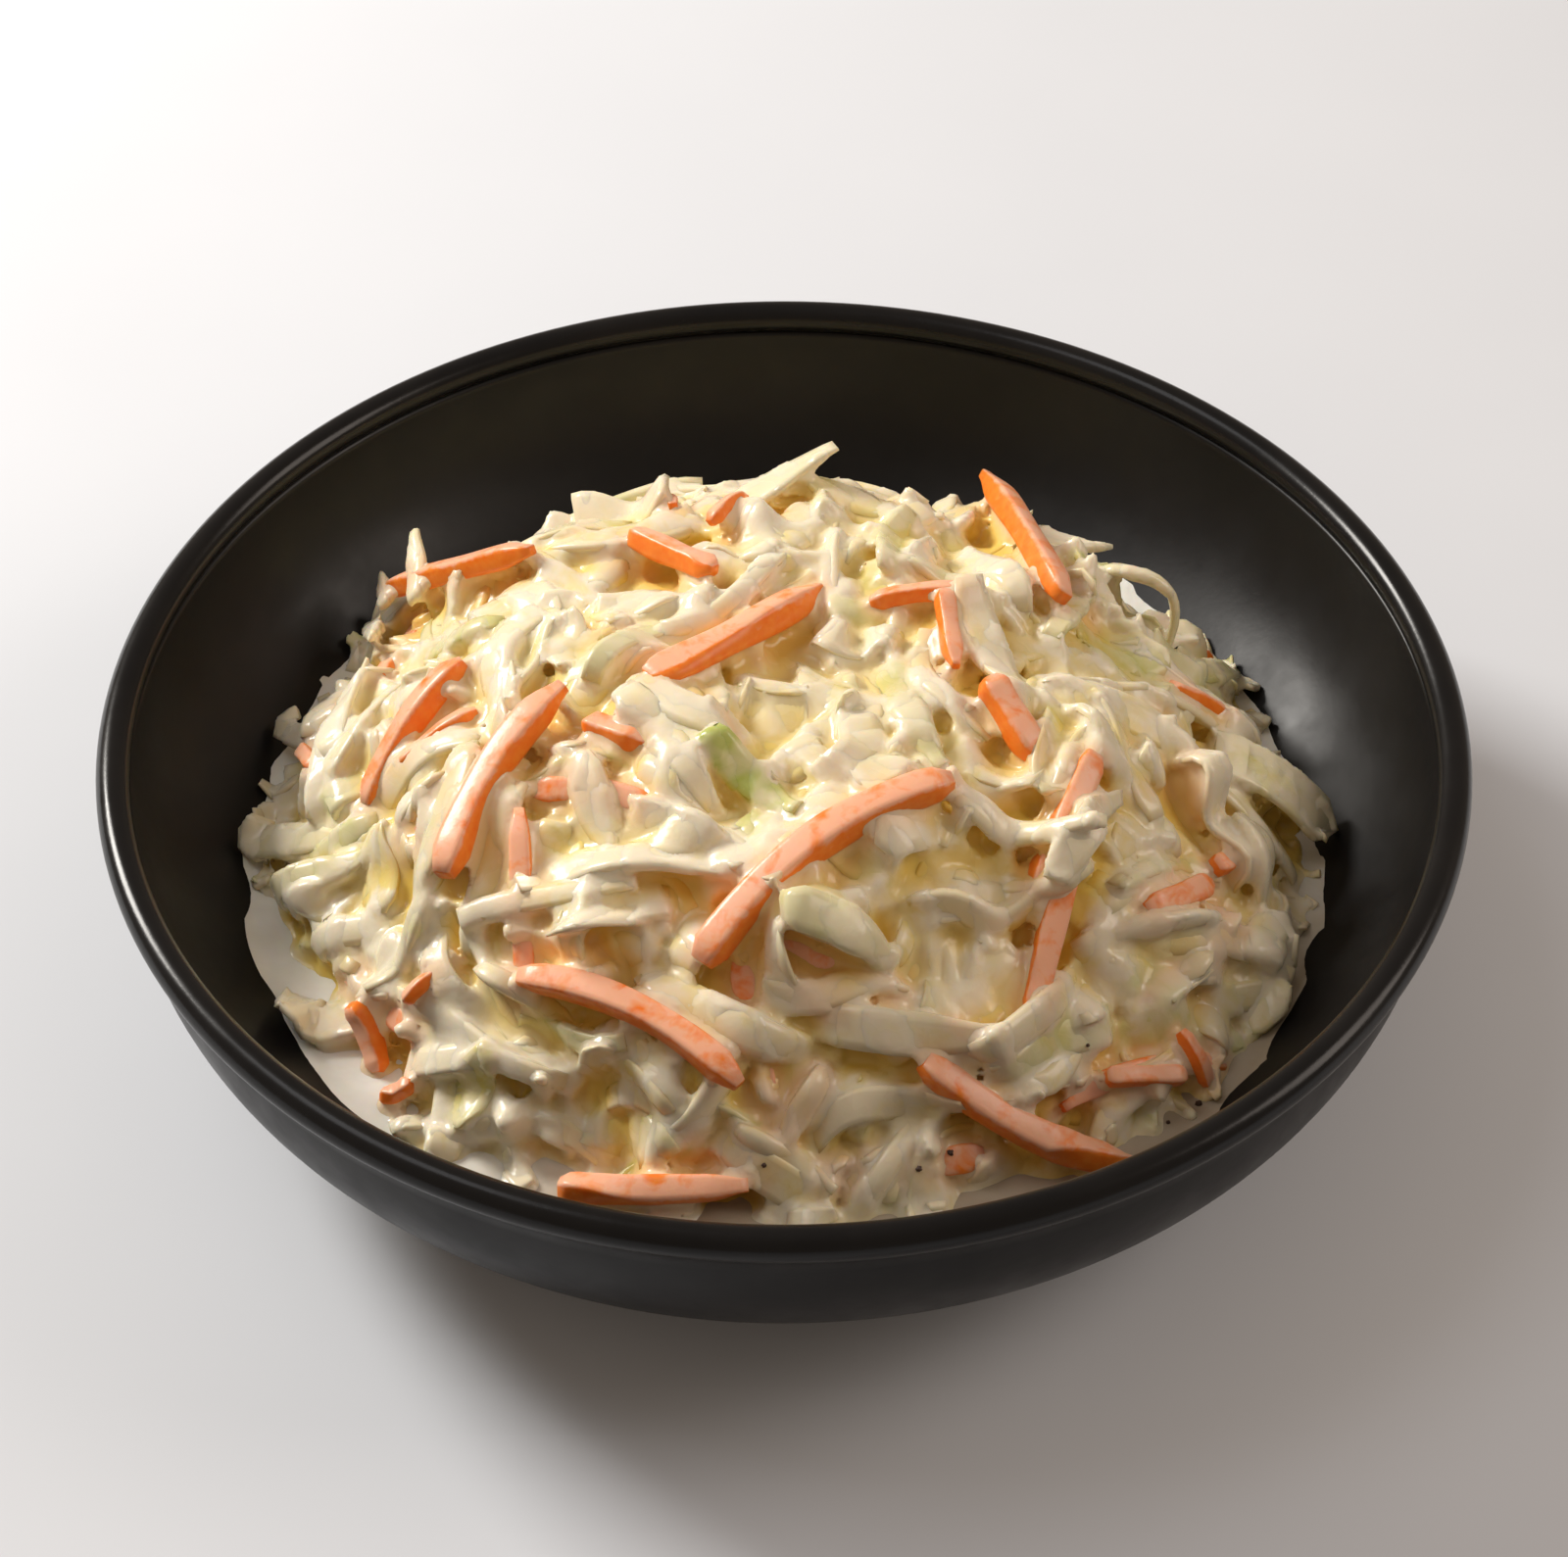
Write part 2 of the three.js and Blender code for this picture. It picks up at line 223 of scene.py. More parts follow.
# Stage, in metres. Lights: name, place, power, size and colour.
STAGE_SIZE = 6
LIGHTS = [
    ("key", (-0.67, 0.45, 0.57), 10.7, 0.28, (1.0, 0.96, 0.90)),
    ("top", (-0.45, 0.12, 0.92), 1.2, 0.4, (0.97, 0.97, 1.0)),
    ("fill", (0.88, 0.05, 0.68), 3.6, 0.5, (1.0, 0.88, 0.79)),
]
LIGHT_AIM = (0, 0, 0.03)
WORLD_COLOUR = (1.0, 0.80, 0.63, 1)
WORLD_STRENGTH = 0.31
CAMERA_PLACE = (0, -0.3358, 0.3552)
CAMERA_TILT = 45.82
CAMERA_LENS = 85
CAMERA_SENSOR = 36

# Named carrots: x, y, heading, length, width, bow, rise at the start and the end. Left-out values are 0.
CARROTS = [
    (-14, 20, -45, 15, 4, 0, 1.5),
    (30, 29, 106, 33, 4.3, 0.5, 0, 3.0),
    (17, 12, 0, 12, 3),
    (20.5, 5, -83, 12, 3),
    (28, -9.3, -56, 12, 4.6),
    (33.5, -22, -110, 21, 4.8),
    (32, -33, -104, 22, 4),
    (-18, -46, -26, 29, 4.4, 2),
    (29, -51.5, -14, 27, 4.6, -1),
    (-15, -58, -3, 22, 4.2),
    (-41, 30, -38, 24, 4, -1, 2),
    (-46.5, -1, 46, 19, 4.4, 1),
    (-43.5, -4, 24, 10, 3.4),
    (-33, -16, 60, 25, 4.8, 2),
    (-20.5, -12, -32, 9, 4),
    (-15.5, 36, -74, 10, 3.2, 0, 2),
    (54, 33, -28, 7, 3.2, 0, 0, 2),
    (53, 10, 13, 7, 4),
    (48.5, -23, 43, 13, 4),
    (-50.5, -36, -76, 7, 3.4),
    (42, -43, 24, 9, 3),
    (56.5, -13, 48, 7, 3.2),
    (45, -12, 20, 3, 2.6),
    (52, -6.5, -65, 6, 2.7),
    (-46, -43, 10, 5, 2.6),
    (23, -46, -4, 7, 2.5),
    (48.5, -39, -48, 5, 2.4),
    (-42.5, -35, 30, 4, 2.4),
    (-60.5, 7, -72, 7, 2.6),
    (-7, 28, 56, 8, 2.5),
    (-6, 5, 44, 29, 5, -1, -0.9, -0.9),
    (5, -32, 35, 36, 5.2, 3),
]

# Named cabbage: x, y, heading, length, width, bow, arch, rise at the start and the end, roll and green
CABBAGE = [
    (-5, -46, -20, 25, 5.6, -1.5, 0.5),
    (15, -46, 5, 22, 5.6, -1, 0.3, 0, 0, 0, 0.1),
    (30, -41, 38, 22, 5.2, -1, 0.6),
    (48, -29, 27, 26, 6, 1.5, 0.6),
    (7, -39, -15, 14, 5, 0, 0.5, 0, 0, 0, 0.3),
    (12, -57, 41, 12, 3),
    (35, -26, 46, 12, 3.4, 0, 0.5, 0, 0, 0, 0.2),
    (26, 3, -69, 21, 5.6, 0, 0.8),
    (9, 34.5, -24, 13, 6.2, 0, 0, 2.6, 0, 15, 0.25),
    (-1.5, 35.6, 11, 16, 6, 0, 0.5, 1, 3, 12, 0.25),
    (35.5, 37.5, 0, 12, 3.8, 0, 0, 1, 4.6, 0, 0.1),
    (-24, 39, -37, 17, 5.4, 0, 0, 3),
    (-53, 29, -82, 13, 3, 0, 0, 3),
    (-62, 14, -66, 15, 3, 0, 0, 5),
    (-63, -4, -40, 16, 5, 0, 0, 4, 0, 0, 0.2),
    (-23, -22, -74, 14, 5.4, 0, 0.5),
    (-38, -36, -57, 21, 3.8, -2, 0.5),
    (57, -28, 40, 13, 4, 0, 0, 0, 2, 0, 0.2),
    (-1.5, -7, -6, 9, 8.5, 0, 0, 1.3, 1.3, 22),
    (2, -54, -136, 9, 3.4),
    (0, -57, -19, 12, 3),
    (26, -30.6, 2, 11, 2.3),
    (1, -25, -114, 10, 2.3),
    (-50.5, 36, 80, 6, 2.4, 0, 0, 0, 2),
    (60, -4, -30, 12, 6, 0, 1, 0.5, 2, 0, 0.1),
    (61.5, 1, -14, 13, 8.5, 0, 2.8, 1, 4.4, 0, 0.3),
    (54, -9, -60, 14, 5.5, 0, 1, 0, 0.5),
    (59, -12, -60, 10, 7, 0, 1, 1.5, 1, 0, 0.1),
    (61.5, -16.5, 80, 9, 6, -1, 0.5, 0.5, 0.5),
    (59.5, -21, 60, 9, 5.5, 1, 0.5, 0, 0, 0, 0.1),
    (-58, -31, -14, 11, 7, 0, 1.5, 1.5, 0, 0, 0.1),
    (60, -29.5, 31, 8, 4, 0, 0.5, 0, 2, 0, 0.4),
    (6.4, -39.4, -19, 14, 5.8, 1, 0.8, 0, 0, 0, 0.45),
    (35.5, -23, 55, 18, 4.6, 1, 0.8, 0, 1, 0, 0.1),
    (26.5, -22.5, -16, 15, 4, -2, 1.2, 0, 1),
    (-12, -9.5, -39, 20, 5, -1, 1.2),
    (46.3, 27, -12, 11.5, 3.8, 0, 6.6, 0, 0, 0, 0.4),
    (-28, 36, -4, 7.5, 7, 0, 0, 1.8, 1.8, 48),
    (-21, 35, -8, 12, 6.6, 0, 0.3, 1.4, 1, 42),
    (-46, 33, 70, 9, 3.6, 0, 0, 0, 3.5, 0, 0.1),
    (-14, -15, -57, 20, 5, 0, 1),
    (-3.6, -19.5, -43, 14, 4.6, 0, 0.8, 0.7, 0.7, 0, 1),
    (16, -8, -72, 20, 5, -1, 0.5, 0, 0, 0, 0.5),
    (47, -27, 33, 15, 3, 0, 1, 0, 0, 40),
    (-16, -32, -8, 31, 4, 2, 1),
]

random = np.random.default_rng(SEED)


# ---- outline of the bowl and the heap


def inner_wall_radius(height):
    depth = np.clip((RIM_HEIGHT - height) / (RIM_HEIGHT - FLOOR_HEIGHT), 0, 1)
    reach = np.sqrt(1 - depth**INNER_WALL_POWER)
    return INNER_FLAT_RADIUS + (INNER_WALL_RADIUS - INNER_FLAT_RADIUS) * reach


def heap_radius(angle):
    return HEAP_RADIUS + HEAP_OVAL * np.cos(2 * angle) + HEAP_LEAN * np.sin(angle)


def running_total(steps):
    return np.concatenate([[0], np.cumsum(steps)])


# The outline unrolled: distance from the top along the slope, against the share of the heap's radius
SHARES = np.linspace(0, 1, 400)
SLOPES = np.hypot(HEAP_RADIUS, HEAP_POWER * HEAP_HEIGHT * SHARES ** (HEAP_POWER - 1))
DISTANCES = running_total((SLOPES[1:] + SLOPES[:-1]) / 2 * np.diff(SHARES))
FOOT = DISTANCES[-1]

# The bowl's wall above the dressing: distance along it from the waterline
WALL_HEIGHTS = np.linspace(LEVEL, RIM_HEIGHT - RIM_DEPTH, 60)
WALL_RADII = inner_wall_radius(WALL_HEIGHTS) - WALL_CLEARANCE
WALL_DISTANCES = running_total(np.hypot(np.diff(WALL_HEIGHTS), np.diff(WALL_RADII)))


def around(radius, height, angle):
    """Points at a radius and a height in each direction."""
    return np.stack(np.broadcast_arrays(radius * np.cos(angle), radius * np.sin(angle), height), -1)


def outline(u, v):
    """The outline's point at flat place u, v: over the heap, the strip of dressing, then the wall."""
    angle = np.arctan2(v, u)
    distance = np.hypot(u, v)
    share = np.interp(distance, DISTANCES, SHARES)
    edge = heap_radius(angle)
    beyond = np.maximum(distance - FOOT, 0)
    strip = WALL_RADII[0] - edge
    climb = np.maximum(beyond - strip, 0)
    radius = share * edge + np.minimum(beyond, strip)
    radius = np.where(climb > 0, np.interp(climb, WALL_DISTANCES, WALL_RADII), radius)
    height = LEVEL + HEAP_HEIGHT * (1 - share**HEAP_POWER)
    height = np.where(climb > 0, np.interp(climb, WALL_DISTANCES, WALL_HEIGHTS), height)
    return around(radius, height, angle)


def unit(vectors):
    return vectors / np.linalg.norm(vectors, axis=-1, keepdims=True)


def outline_normal(u, v, step=2.0):
    along_u = outline(u + step, v) - outline(u - step, v)
    along_v = outline(u, v + step) - outline(u, v - step)
    return unit(np.cross(along_u, along_v))


def inside(points):
    """The points, kept inside the bowl's wall, under the heap's top and near or over the dressing."""
    points[..., 2] = np.clip(points[..., 2], LEVEL - 1.5, TOP_LIMIT)
    radius = np.hypot(points[..., 0], points[..., 1])
    limit = inner_wall_radius(points[..., 2]) - WALL_CLEARANCE
    pull = np.minimum(1, limit / np.maximum(radius, 1e-6))
    points[..., :2] *= pull[..., None]
    return points


def lifted(u, v, height):
    """Points at a height over the outline."""
    return inside(outline(u, v) + outline_normal(u, v) * np.asarray(height)[..., None])


def flat_place(x, y):
    """The flat place of a point of the plan."""
    angle = np.arctan2(y, x)
    radius = np.hypot(x, y)
    edge = heap_radius(angle)
    distance = np.interp(np.minimum(radius / edge, 1), SHARES, DISTANCES)
    distance = distance + np.maximum(radius - edge, 0)
    return distance * np.cos(angle), distance * np.sin(angle)


def smooth_field(size, seed):
    """A smooth random function of two coordinates, about -1 to 1, with bumps of about that size."""
    chance = np.random.default_rng(seed)
    waves = []
    for _ in range(14):
        turn = chance.uniform(0, 2 * math.pi)
        number = 2 * math.pi / (size * chance.uniform(1.2, 3.0))
        waves.append((number * math.cos(turn), number * math.sin(turn), chance.uniform(0, 2 * math.pi)))

    def value(x, y):
        return sum(np.sin(a * x + b * y + c) for a, b, c in waves) / 4.0

    return value


# ---- the pile


class Pile:
    """The pile's height over the outline, on a flat grid, and the cells kept free of loose strips."""

    def __init__(self):
        count = int(2 * FLAT_REACH / CELL) + 1
        axis = np.linspace(-FLAT_REACH, FLAT_REACH, count)
        u, v = np.meshgrid(axis, axis, indexing="ij")
        self.floor = (LEVEL - outline(u, v)[..., 2]) / np.maximum(outline_normal(u, v)[..., 2], 0.3)
        distance = np.hypot(u, v)
        self.height = np.where(distance < FOOT, np.maximum(-CORE_DEPTH, self.floor), 0.0) - 0.2
        lumps = smooth_field(LUMP_SIZE, LUMP_SEED)
        self.target = LUMP_HEIGHT * lumps(u, v) - TOP_DIP * np.exp(-((distance / DIP_REACH) ** 2))
        angle = np.degrees(np.arctan2(v, u)) % 360
        self.kept = (angle > CLEAR_FROM) & (angle < CLEAR_TO) & (distance > FOOT - CLEAR_DEPTH)

    def index(self, u, v):
        i = np.clip(np.rint((u + FLAT_REACH) / CELL).astype(int), 0, self.height.shape[0] - 1)
        j = np.clip(np.rint((v + FLAT_REACH) / CELL).astype(int), 0, self.height.shape[1] - 1)
        return i, j

    def read(self, u, v):
        return self.height[self.index(u, v)]


class Strip:
    """One piece: its centre line in the flat plan, its height, and how its section changes along it."""

    sides = SIDES

    def __init__(self, u, v, width, thickness, roll=0.0, cup=0.0, tint=0.5, green=0.0, corners=0.6):
        self.u, self.v = u, v
        self.width, self.thickness = width, thickness
        self.roll, self.cup, self.corners = roll, cup, corners
        self.tint, self.green = tint, green
        du = np.gradient(u)
        dv = np.gradient(v)
        length = np.hypot(du, dv)
        self.step = float(length.mean())
        self.across_u = -dv / length
        self.across_v = du / length
        self.places = np.linspace(-1, 1, len(u))

    def under(self, pile, share):
        """Height of the pile under a line along the piece, at that share of its width to one side."""
        side = share * self.width
        return pile.read(self.u + side * self.across_u, self.v + side * self.across_v)

    def settle(self, pile, bends, rise=0.0):
        """Lay the piece on the pile, in a smooth curve, with the tallest bumps pressed into it."""
        shares = (-SUPPORT_REACH, 0.0, SUPPORT_REACH)
        low, middle, high = (self.under(pile, share) for share in shares)
        support = np.maximum((low + middle + high) / 3, middle - 0.3)
        curve = np.polyval(np.polyfit(self.places, support, bends), self.places)
        self.bump = np.max(support - curve)
        self.height = curve + PRESS * self.bump + self.thickness / 2 - SINK + rise
        tilt = np.clip(np.arctan2(high - low, 2 * SUPPORT_REACH * self.width), -0.5, 0.5)
        tilt = np.polyval(np.polyfit(self.places, tilt, 2), self.places)
        self.turn = TILT * tilt + self.roll
        self.line = lifted(self.u, self.v, self.height)
        self.normal = outline_normal(self.u, self.v)

    def surface(self):
        """Points of the rings round the piece, one ring for each place along it."""
        across, up = section(self.sides, self.corners)
        forward = unit(np.gradient(self.line, axis=0))
        side = unit(np.cross(self.normal, forward))
        lift = np.cross(forward, side)
        cos, sin = np.cos(self.turn)[:, None], np.sin(self.turn)[:, None]
        side, lift = side * cos + lift * sin, lift * cos - side * sin
        a = across * self.width[:, None]
        b = up * self.thickness[:, None] + self.cup * (across * 2) ** 2
        return inside(self.line[:, None] + a[..., None] * side[:, None] + b[..., None] * lift[:, None])

    def footprint(self, pile):
        """Cells of the pile that the piece covers, and the height of its upper side there."""
        fine = np.linspace(0, len(self.u) - 1, int(len(self.u) * self.step / CELL) + 2)
        whole = np.arange(len(self.u))

        def along(values):
            return np.interp(fine, whole, values)[:, None]

        shares = np.linspace(-0.5, 0.5, int(self.width.max() / CELL) + 2)[None, :]
        side = along(self.width) * shares
        level = side * np.cos(along(self.turn))
        crown = along(self.thickness) / 2 * np.sqrt(1 - (2 * shares) ** 4)
        top = along(self.height) + side * np.sin(along(self.turn)) + crown
        cells = pile.index(
            along(self.u) + level * along(self.across_u), along(self.v) + level * along(self.across_v)
        )
        return cells, top

    def lay(self, pile, keep=False, solid=True):
        """Raise the pile to this piece's upper side, unless it stands open underneath."""
        cells, top = self.footprint(pile)
        if solid:
            np.maximum.at(pile.height, cells, top)
        if keep:
            pile.kept[cells] = True


class Baton(Strip):
    """A carrot baton: stiff, so that it stays nearly straight where the heap curves away under it."""

    sides = CARROT_SIDES
    bow = 0.0

    def settle(self, pile, bends, rise=0.0):
        """Lay it as a strip, with few bends, and then take out most of what bend it has."""
        super().settle(pile, min(bends, BATON_BENDS), rise)
        self.turn = BATON_TILT * (self.turn - self.roll) + self.roll
        middle = unit(self.normal.mean(0))
        shapes = [np.ones_like(self.places), self.places, 1.5 * self.places**2 - 0.5]
        terms = np.linalg.lstsq(np.stack(shapes, 1), self.line, rcond=None)[0]
        sweep = -2 / 3 * self.bow * np.cross(middle, unit(terms[1]))
        terms[2] = BATON_BEND * terms[2] + (1 - BATON_BEND) * sweep
        self.line = np.stack(shapes, 1) @ terms
        self.height = np.sum((self.line - outline(self.u, self.v)) * self.normal, -1)


def directions(count):
    return np.linspace(0, 2 * math.pi, count, endpoint=False)


def section(sides, power):
    """A rounded section, one across and one high: a lower power gives squarer corners."""
    angles = directions(sides) + math.pi / sides
    cos, sin = np.cos(angles), np.sin(angles)
    across = np.sign(cos) * np.abs(cos) ** power / 2
    up = np.sign(sin) * np.abs(sin) ** power / 2
    return across[None, :], up[None, :]


def ease(values):
    values = np.clip(values, 0, 1)
    return values * values * (3 - 2 * values)


def hump(along):
    """From 0 at the ends to 1 in the middle."""
    return 1 - (2 * along - 1) ** 2


def raised(height, along, start, end):
    """A height along a piece, raised by that much at its start and end."""
    return height + start * (1 - along) ** 2 + end * along**2


def width_profile(along, width, blunt, point):
    """Full in the middle, blunt at the cut end and narrowing to a point at the other."""
    start = blunt + (1 - blunt) * ease(along / 0.16)
    end = 1 - (1 - point) * ease((along - 0.5) / 0.5)
    return width * start * end


def thickness_profile(along):
    """Thick at the rib end, thinner towards the leaf's edge, and rounded off at both ends."""
    tips = 0.6 + 0.4 * ease(np.minimum(along, 1 - along) / 0.1)
    return tips * (1 - 0.25 * ease((along - 0.3) / 0.7))


def centre_line(x, y, heading, length, bow, wave, rings):
    """Shares along a piece and the places of its centre line, from the place of its middle."""
    along = np.linspace(0, 1, rings)
    forward = (along - 0.5) * length
    side = bow * hump(along) + wave * np.sin(2 * math.pi * along)
    line_x = x + forward * math.cos(heading) - side * math.sin(heading)
    line_y = y + forward * math.sin(heading) + side * math.cos(heading)
    return along, line_x, line_y


def random_strip(u, v, heading):
    lengths, widths, thicknesses, corners = KINDS[random.choice(len(KINDS), p=KIND_SHARES)]
    length = random.uniform(*lengths)
    width = random.uniform(*widths)
    thickness = random.uniform(*thicknesses)
    bow = random.normal(0, 0.1) * length
    wave = random.normal(0, 0.03) * length
    along, line_u, line_v = centre_line(u, v, heading, length, bow, wave, RINGS)
    point = random.uniform(0.12, 0.3) if random.random() < POINTED_SHARE else random.uniform(0.4, 0.85)
    width_along = width_profile(along, width, random.uniform(0.6, 0.95), point)
    roll = random.normal(0, 0.25) + random.normal(0, 0.38) * (along - 0.5) * 2
    if random.random() < ON_EDGE_SHARE:
        roll = roll + random.choice([-1, 1]) * random.uniform(0.5, 1.1)
    cup = random.uniform(-0.3, 0.5) * (0.3 + 0.12 * width)
    green = random.uniform(0.15, 0.65) if random.random() < GREEN_SHARE else 0.0
    thickness = thickness * thickness_profile(along)
    return Strip(line_u, line_v, width_along, thickness, roll, cup, random.random(), green, corners)


def small_bit(u, v, heading):
    """A short scrap, as they float on the dressing round the heap."""
    length = random.uniform(3, 9)
    along, line_u, line_v = centre_line(u, v, heading, length, random.normal(0, 0.1) * length, 0, RINGS)
    width = random.uniform(1.8, 3.4)
    width = width_profile(along, width, random.uniform(0.5, 0.9), random.uniform(0.4, 0.8))
    thickness = random.uniform(0.8, 1.3) * thickness_profile(along)
    return Strip(line_u, line_v, width, thickness, random.normal(0, 0.3), 0.2, random.random())


def baton(along, u, v, width, bow, roll):
    start = ease(along / random.uniform(0.05, 0.14)) ** 0.8
    end = ease((1 - along) / random.uniform(0.07, 0.28)) ** 0.8
    wobble = 1 + 0.05 * np.sin(2 * math.pi * (1.7 * along + random.random()))
    widths = width * wobble * (0.6 + 0.4 * start) * (0.45 + 0.55 * end)
    piece = Baton(u, v, widths, 0.95 * widths, roll=roll + random.normal(0, 0.12), corners=0.38)
    piece.bow = bow
    return piece


def hidden_carrot(u, v, heading):
    length = random.uniform(10, 30)
    bow = random.normal(0, 0.04) * length
    along, line_u, line_v = centre_line(u, v, heading, length, bow, 0, CARROT_RINGS)
    return baton(along, line_u, line_v, random.uniform(2.6, 4.2), bow, random.normal(0, 0.2))


def named_carrot(row):
    """A baton from its row of the table, and how far it stands over what it lies on."""
    x, y, heading, length, width, bow, rise_start, rise_end = row
    heading = math.radians(heading)
    along, line_x, line_y = centre_line(x, y, heading, length, bow, 0, CARROT_RINGS)
    roll = -BATON_ROLL * math.cos(heading)
    piece = baton(along, *flat_place(line_x, line_y), NAMED_WIDTH * width, bow, roll)
    return piece, raised(CARROT_RISE, along, rise_start, rise_end)


def named_cabbage(row):
    """A strip or a flat sheet from its row of the table, and how far it stands over what it lies on."""
    x, y, heading, length, width, bow, arch, rise_start, rise_end, roll, green = row
    along, line_x, line_y = centre_line(x, y, math.radians(heading), length, bow, 0, RINGS)
    sheet = width > SHEET_WIDTH and length < 2 * width
    blunt, point, corners = (0.95, 0.9, 0.35) if sheet else (0.7, 0.45, 0.7)
    widths = width_profile(along, width, blunt, point)
    thickness = np.full(RINGS, 1.1) if sheet else 1.5 * thickness_profile(along)
    cup = 0.3 * random.choice([-1, 1])
    twist = math.radians(roll) + random.normal(0, 0.15) + random.normal(0, 0.25) * (along - 0.5) * 2
    u, v = flat_place(line_x, line_y)
    strip = Strip(u, v, widths, thickness, twist, cup, random.uniform(0, 0.6), green, corners)
    return strip, raised(arch * hump(along), along, rise_start, rise_end)


def free_place(pile, count=PLACES):
    """The lowest of some random places, against the height that the pile is to reach there."""
    distance = (FOOT + 2.5) * np.sqrt(random.random(count))
    angle = random.uniform(0, 2 * math.pi, count)
    u, v = distance * np.cos(angle), distance * np.sin(angle)
    cells = pile.index(u, v)
    best = int(np.argmax(pile.target[cells] - pile.height[cells]))
    return u[best], v[best]


def over_target(piece, pile):
    """How far the piece stands over the pile's target, on average and at the most."""
    excess = piece.height + piece.thickness / 2 - pile.target[pile.index(piece.u, piece.v)]
    beyond = max(0.0, float(np.hypot(piece.u, piece.v).max()) - FOOT - FOOT_REACH)
    return float(excess.mean()) + beyond, float(excess.max()) + beyond


def full_rows(table, columns):
    """The rows of a table, with 0 for each value left out at their ends."""
    return [(*row, *(0,) * (columns - len(row))) for row in table]


def lay_loose(pile, pieces, make):
    """Try a piece at a low place at some headings, and lay it the way that it lies lowest if it fits."""
    u, v = free_place(pile)
    tried = []
    for heading in random.uniform(0, 2 * math.pi, HEADINGS):
        piece = make(u, v, heading)
        piece.settle(pile, BENDS)
        if pile.kept[pile.index(piece.u, piece.v)].mean() < KEPT_LIMIT:
            tried.append((*over_target(piece, pile), piece))
    if not tried:
        return
    mean, most, piece = min(tried, key=lambda entry: entry[0] + BUMP_WEIGHT * entry[2].bump)
    if mean <= MEAN_LIMIT and most <= MOST_LIMIT:
        piece.lay(pile)
        pieces.append(piece)


def lay_scrap(pile, pieces, u, v, bends):
    """Lay a scrap, unless it would lie on a named piece or in the open dressing."""
    piece = small_bit(u, v, random.uniform(0, math.pi))
    piece.settle(pile, bends)
    if not pile.kept[pile.index(piece.u, piece.v)].any():
        piece.lay(pile)
        pieces.append(piece)


def make_pile():
    """The pile with its strips, the scraps that only the dressing's coat takes in, and its carrots."""
    pile = Pile()
    strips = []
    scraps = []
    carrots = []
    carrot_turns = set(np.linspace(*CARROT_TURNS, HIDDEN_CARROTS).astype(int))
    for turn in range(STRIPS):
        if turn in carrot_turns:
            lay_loose(pile, carrots, hidden_carrot)
        else:
            lay_loose(pile, strips, random_strip)
    for row in full_rows(CARROTS, 8):
        piece, rise = named_carrot(row)
        piece.settle(pile, BATON_BENDS, rise)
        piece.lay(pile, keep=True)
        carrots.append(piece)
    for row in full_rows(CABBAGE, 11):
        length, arch, rises = row[3], row[6], row[7:9]
        piece, rise = named_cabbage(row)
        bends = 1 if max(rises) >= STANDING else BENDS + int(length / BEND_LENGTH)
        piece.settle(pile, bends, rise)
        piece.lay(pile, keep=True, solid=arch < OPEN_ARCH)
        strips.append(piece)
    for _ in range(TOP_STRIPS):
        lay_loose(pile, strips, random_strip)
    for _ in range(HOLLOW_BITS):
        lay_scrap(pile, scraps, *free_place(pile, HOLLOW_PLACES), 2)
    for _ in range(FOOT_BITS):
        angle = random.uniform(0, 2 * math.pi)
        distance = FOOT + random.uniform(-1.5, WALL_RADII[0] - heap_radius(angle) - 0.5)
        lay_scrap(pile, strips, distance * math.cos(angle), distance * math.sin(angle), 1)
    pile.smooth = blurred(pile.height, SMOOTHING)
    return pile, strips, scraps, carrots


# ---- meshes


def ring_quads(rings, sides, first=0):
    """Quads between each ring of points and the next."""
    start = np.arange(rings - 1)[:, None] * sides + first
    side = np.arange(sides)[None, :]
    after = (side + 1) % sides
    corners = [start + side, start + after, start + sides + after, start + sides + side]
    return np.stack(corners, -1).reshape(-1, 4)


def end_fans(rings, sides, first=0, step=1):
    """Triangles from both end rings to middle points that come last. A step of -1 turns them over."""
    side = np.arange(sides)
    after = (side + 1) % sides
    middle = first + rings * sides
    last = middle - sides
    start = [np.full(sides, middle), *(first + side, first + after)[::step]]
    end = [np.full(sides, middle + 1), *(last + after, last + side)[::step]]
    return np.concatenate([np.stack(start, -1), np.stack(end, -1)])


def tube_faces(rings, sides, first):
    return ring_quads(rings, sides, first), end_fans(rings, sides, first, -1)


class Tubes:
    """One mesh of all pieces, with each point's piece and how far up the section the point is."""

    def __init__(self, pieces):
        points, quads, caps, owner, upper = [], [], [], [], []
        first = 0
        for number, piece in enumerate(pieces):
            rings = piece.surface()
            count, sides = rings.shape[:2]
            points.append(np.concatenate([rings.reshape(-1, 3), [rings[0].mean(0), rings[-1].mean(0)]]))
            tube_quads, tube_caps = tube_faces(count, sides, first)
            quads.append(tube_quads)
            caps.append(tube_caps)
            owner.append(np.full(len(points[-1]), number))
            up = 2 * section(sides, piece.corners)[1][0]
            upper.append(np.concatenate([np.tile(up, count), [0, 0]]))
            first += len(points[-1])
        parts = (points, quads, caps, owner, upper)
        self.points, self.quads, self.caps, self.owner, self.upper = map(np.concatenate, parts)
        self.pieces = pieces

    def faces(self):
        return face_list(self.quads, self.caps)

    def tree(self):
        return BVHTree.FromPolygons(self.points.tolist(), self.faces())

    def at_points(self, name):
        """A value of each point's piece."""
        return np.array([getattr(piece, name) for piece in self.pieces])[self.owner]

    def at_faces(self, name, faces, otherwise):
        """A value of the piece that each of some faces belongs to, or another value where it is -1."""
        corner = np.concatenate([self.quads[:, 0], self.caps[:, 0]])
        return np.where(faces >= 0, self.at_points(name)[corner][faces], otherwise)


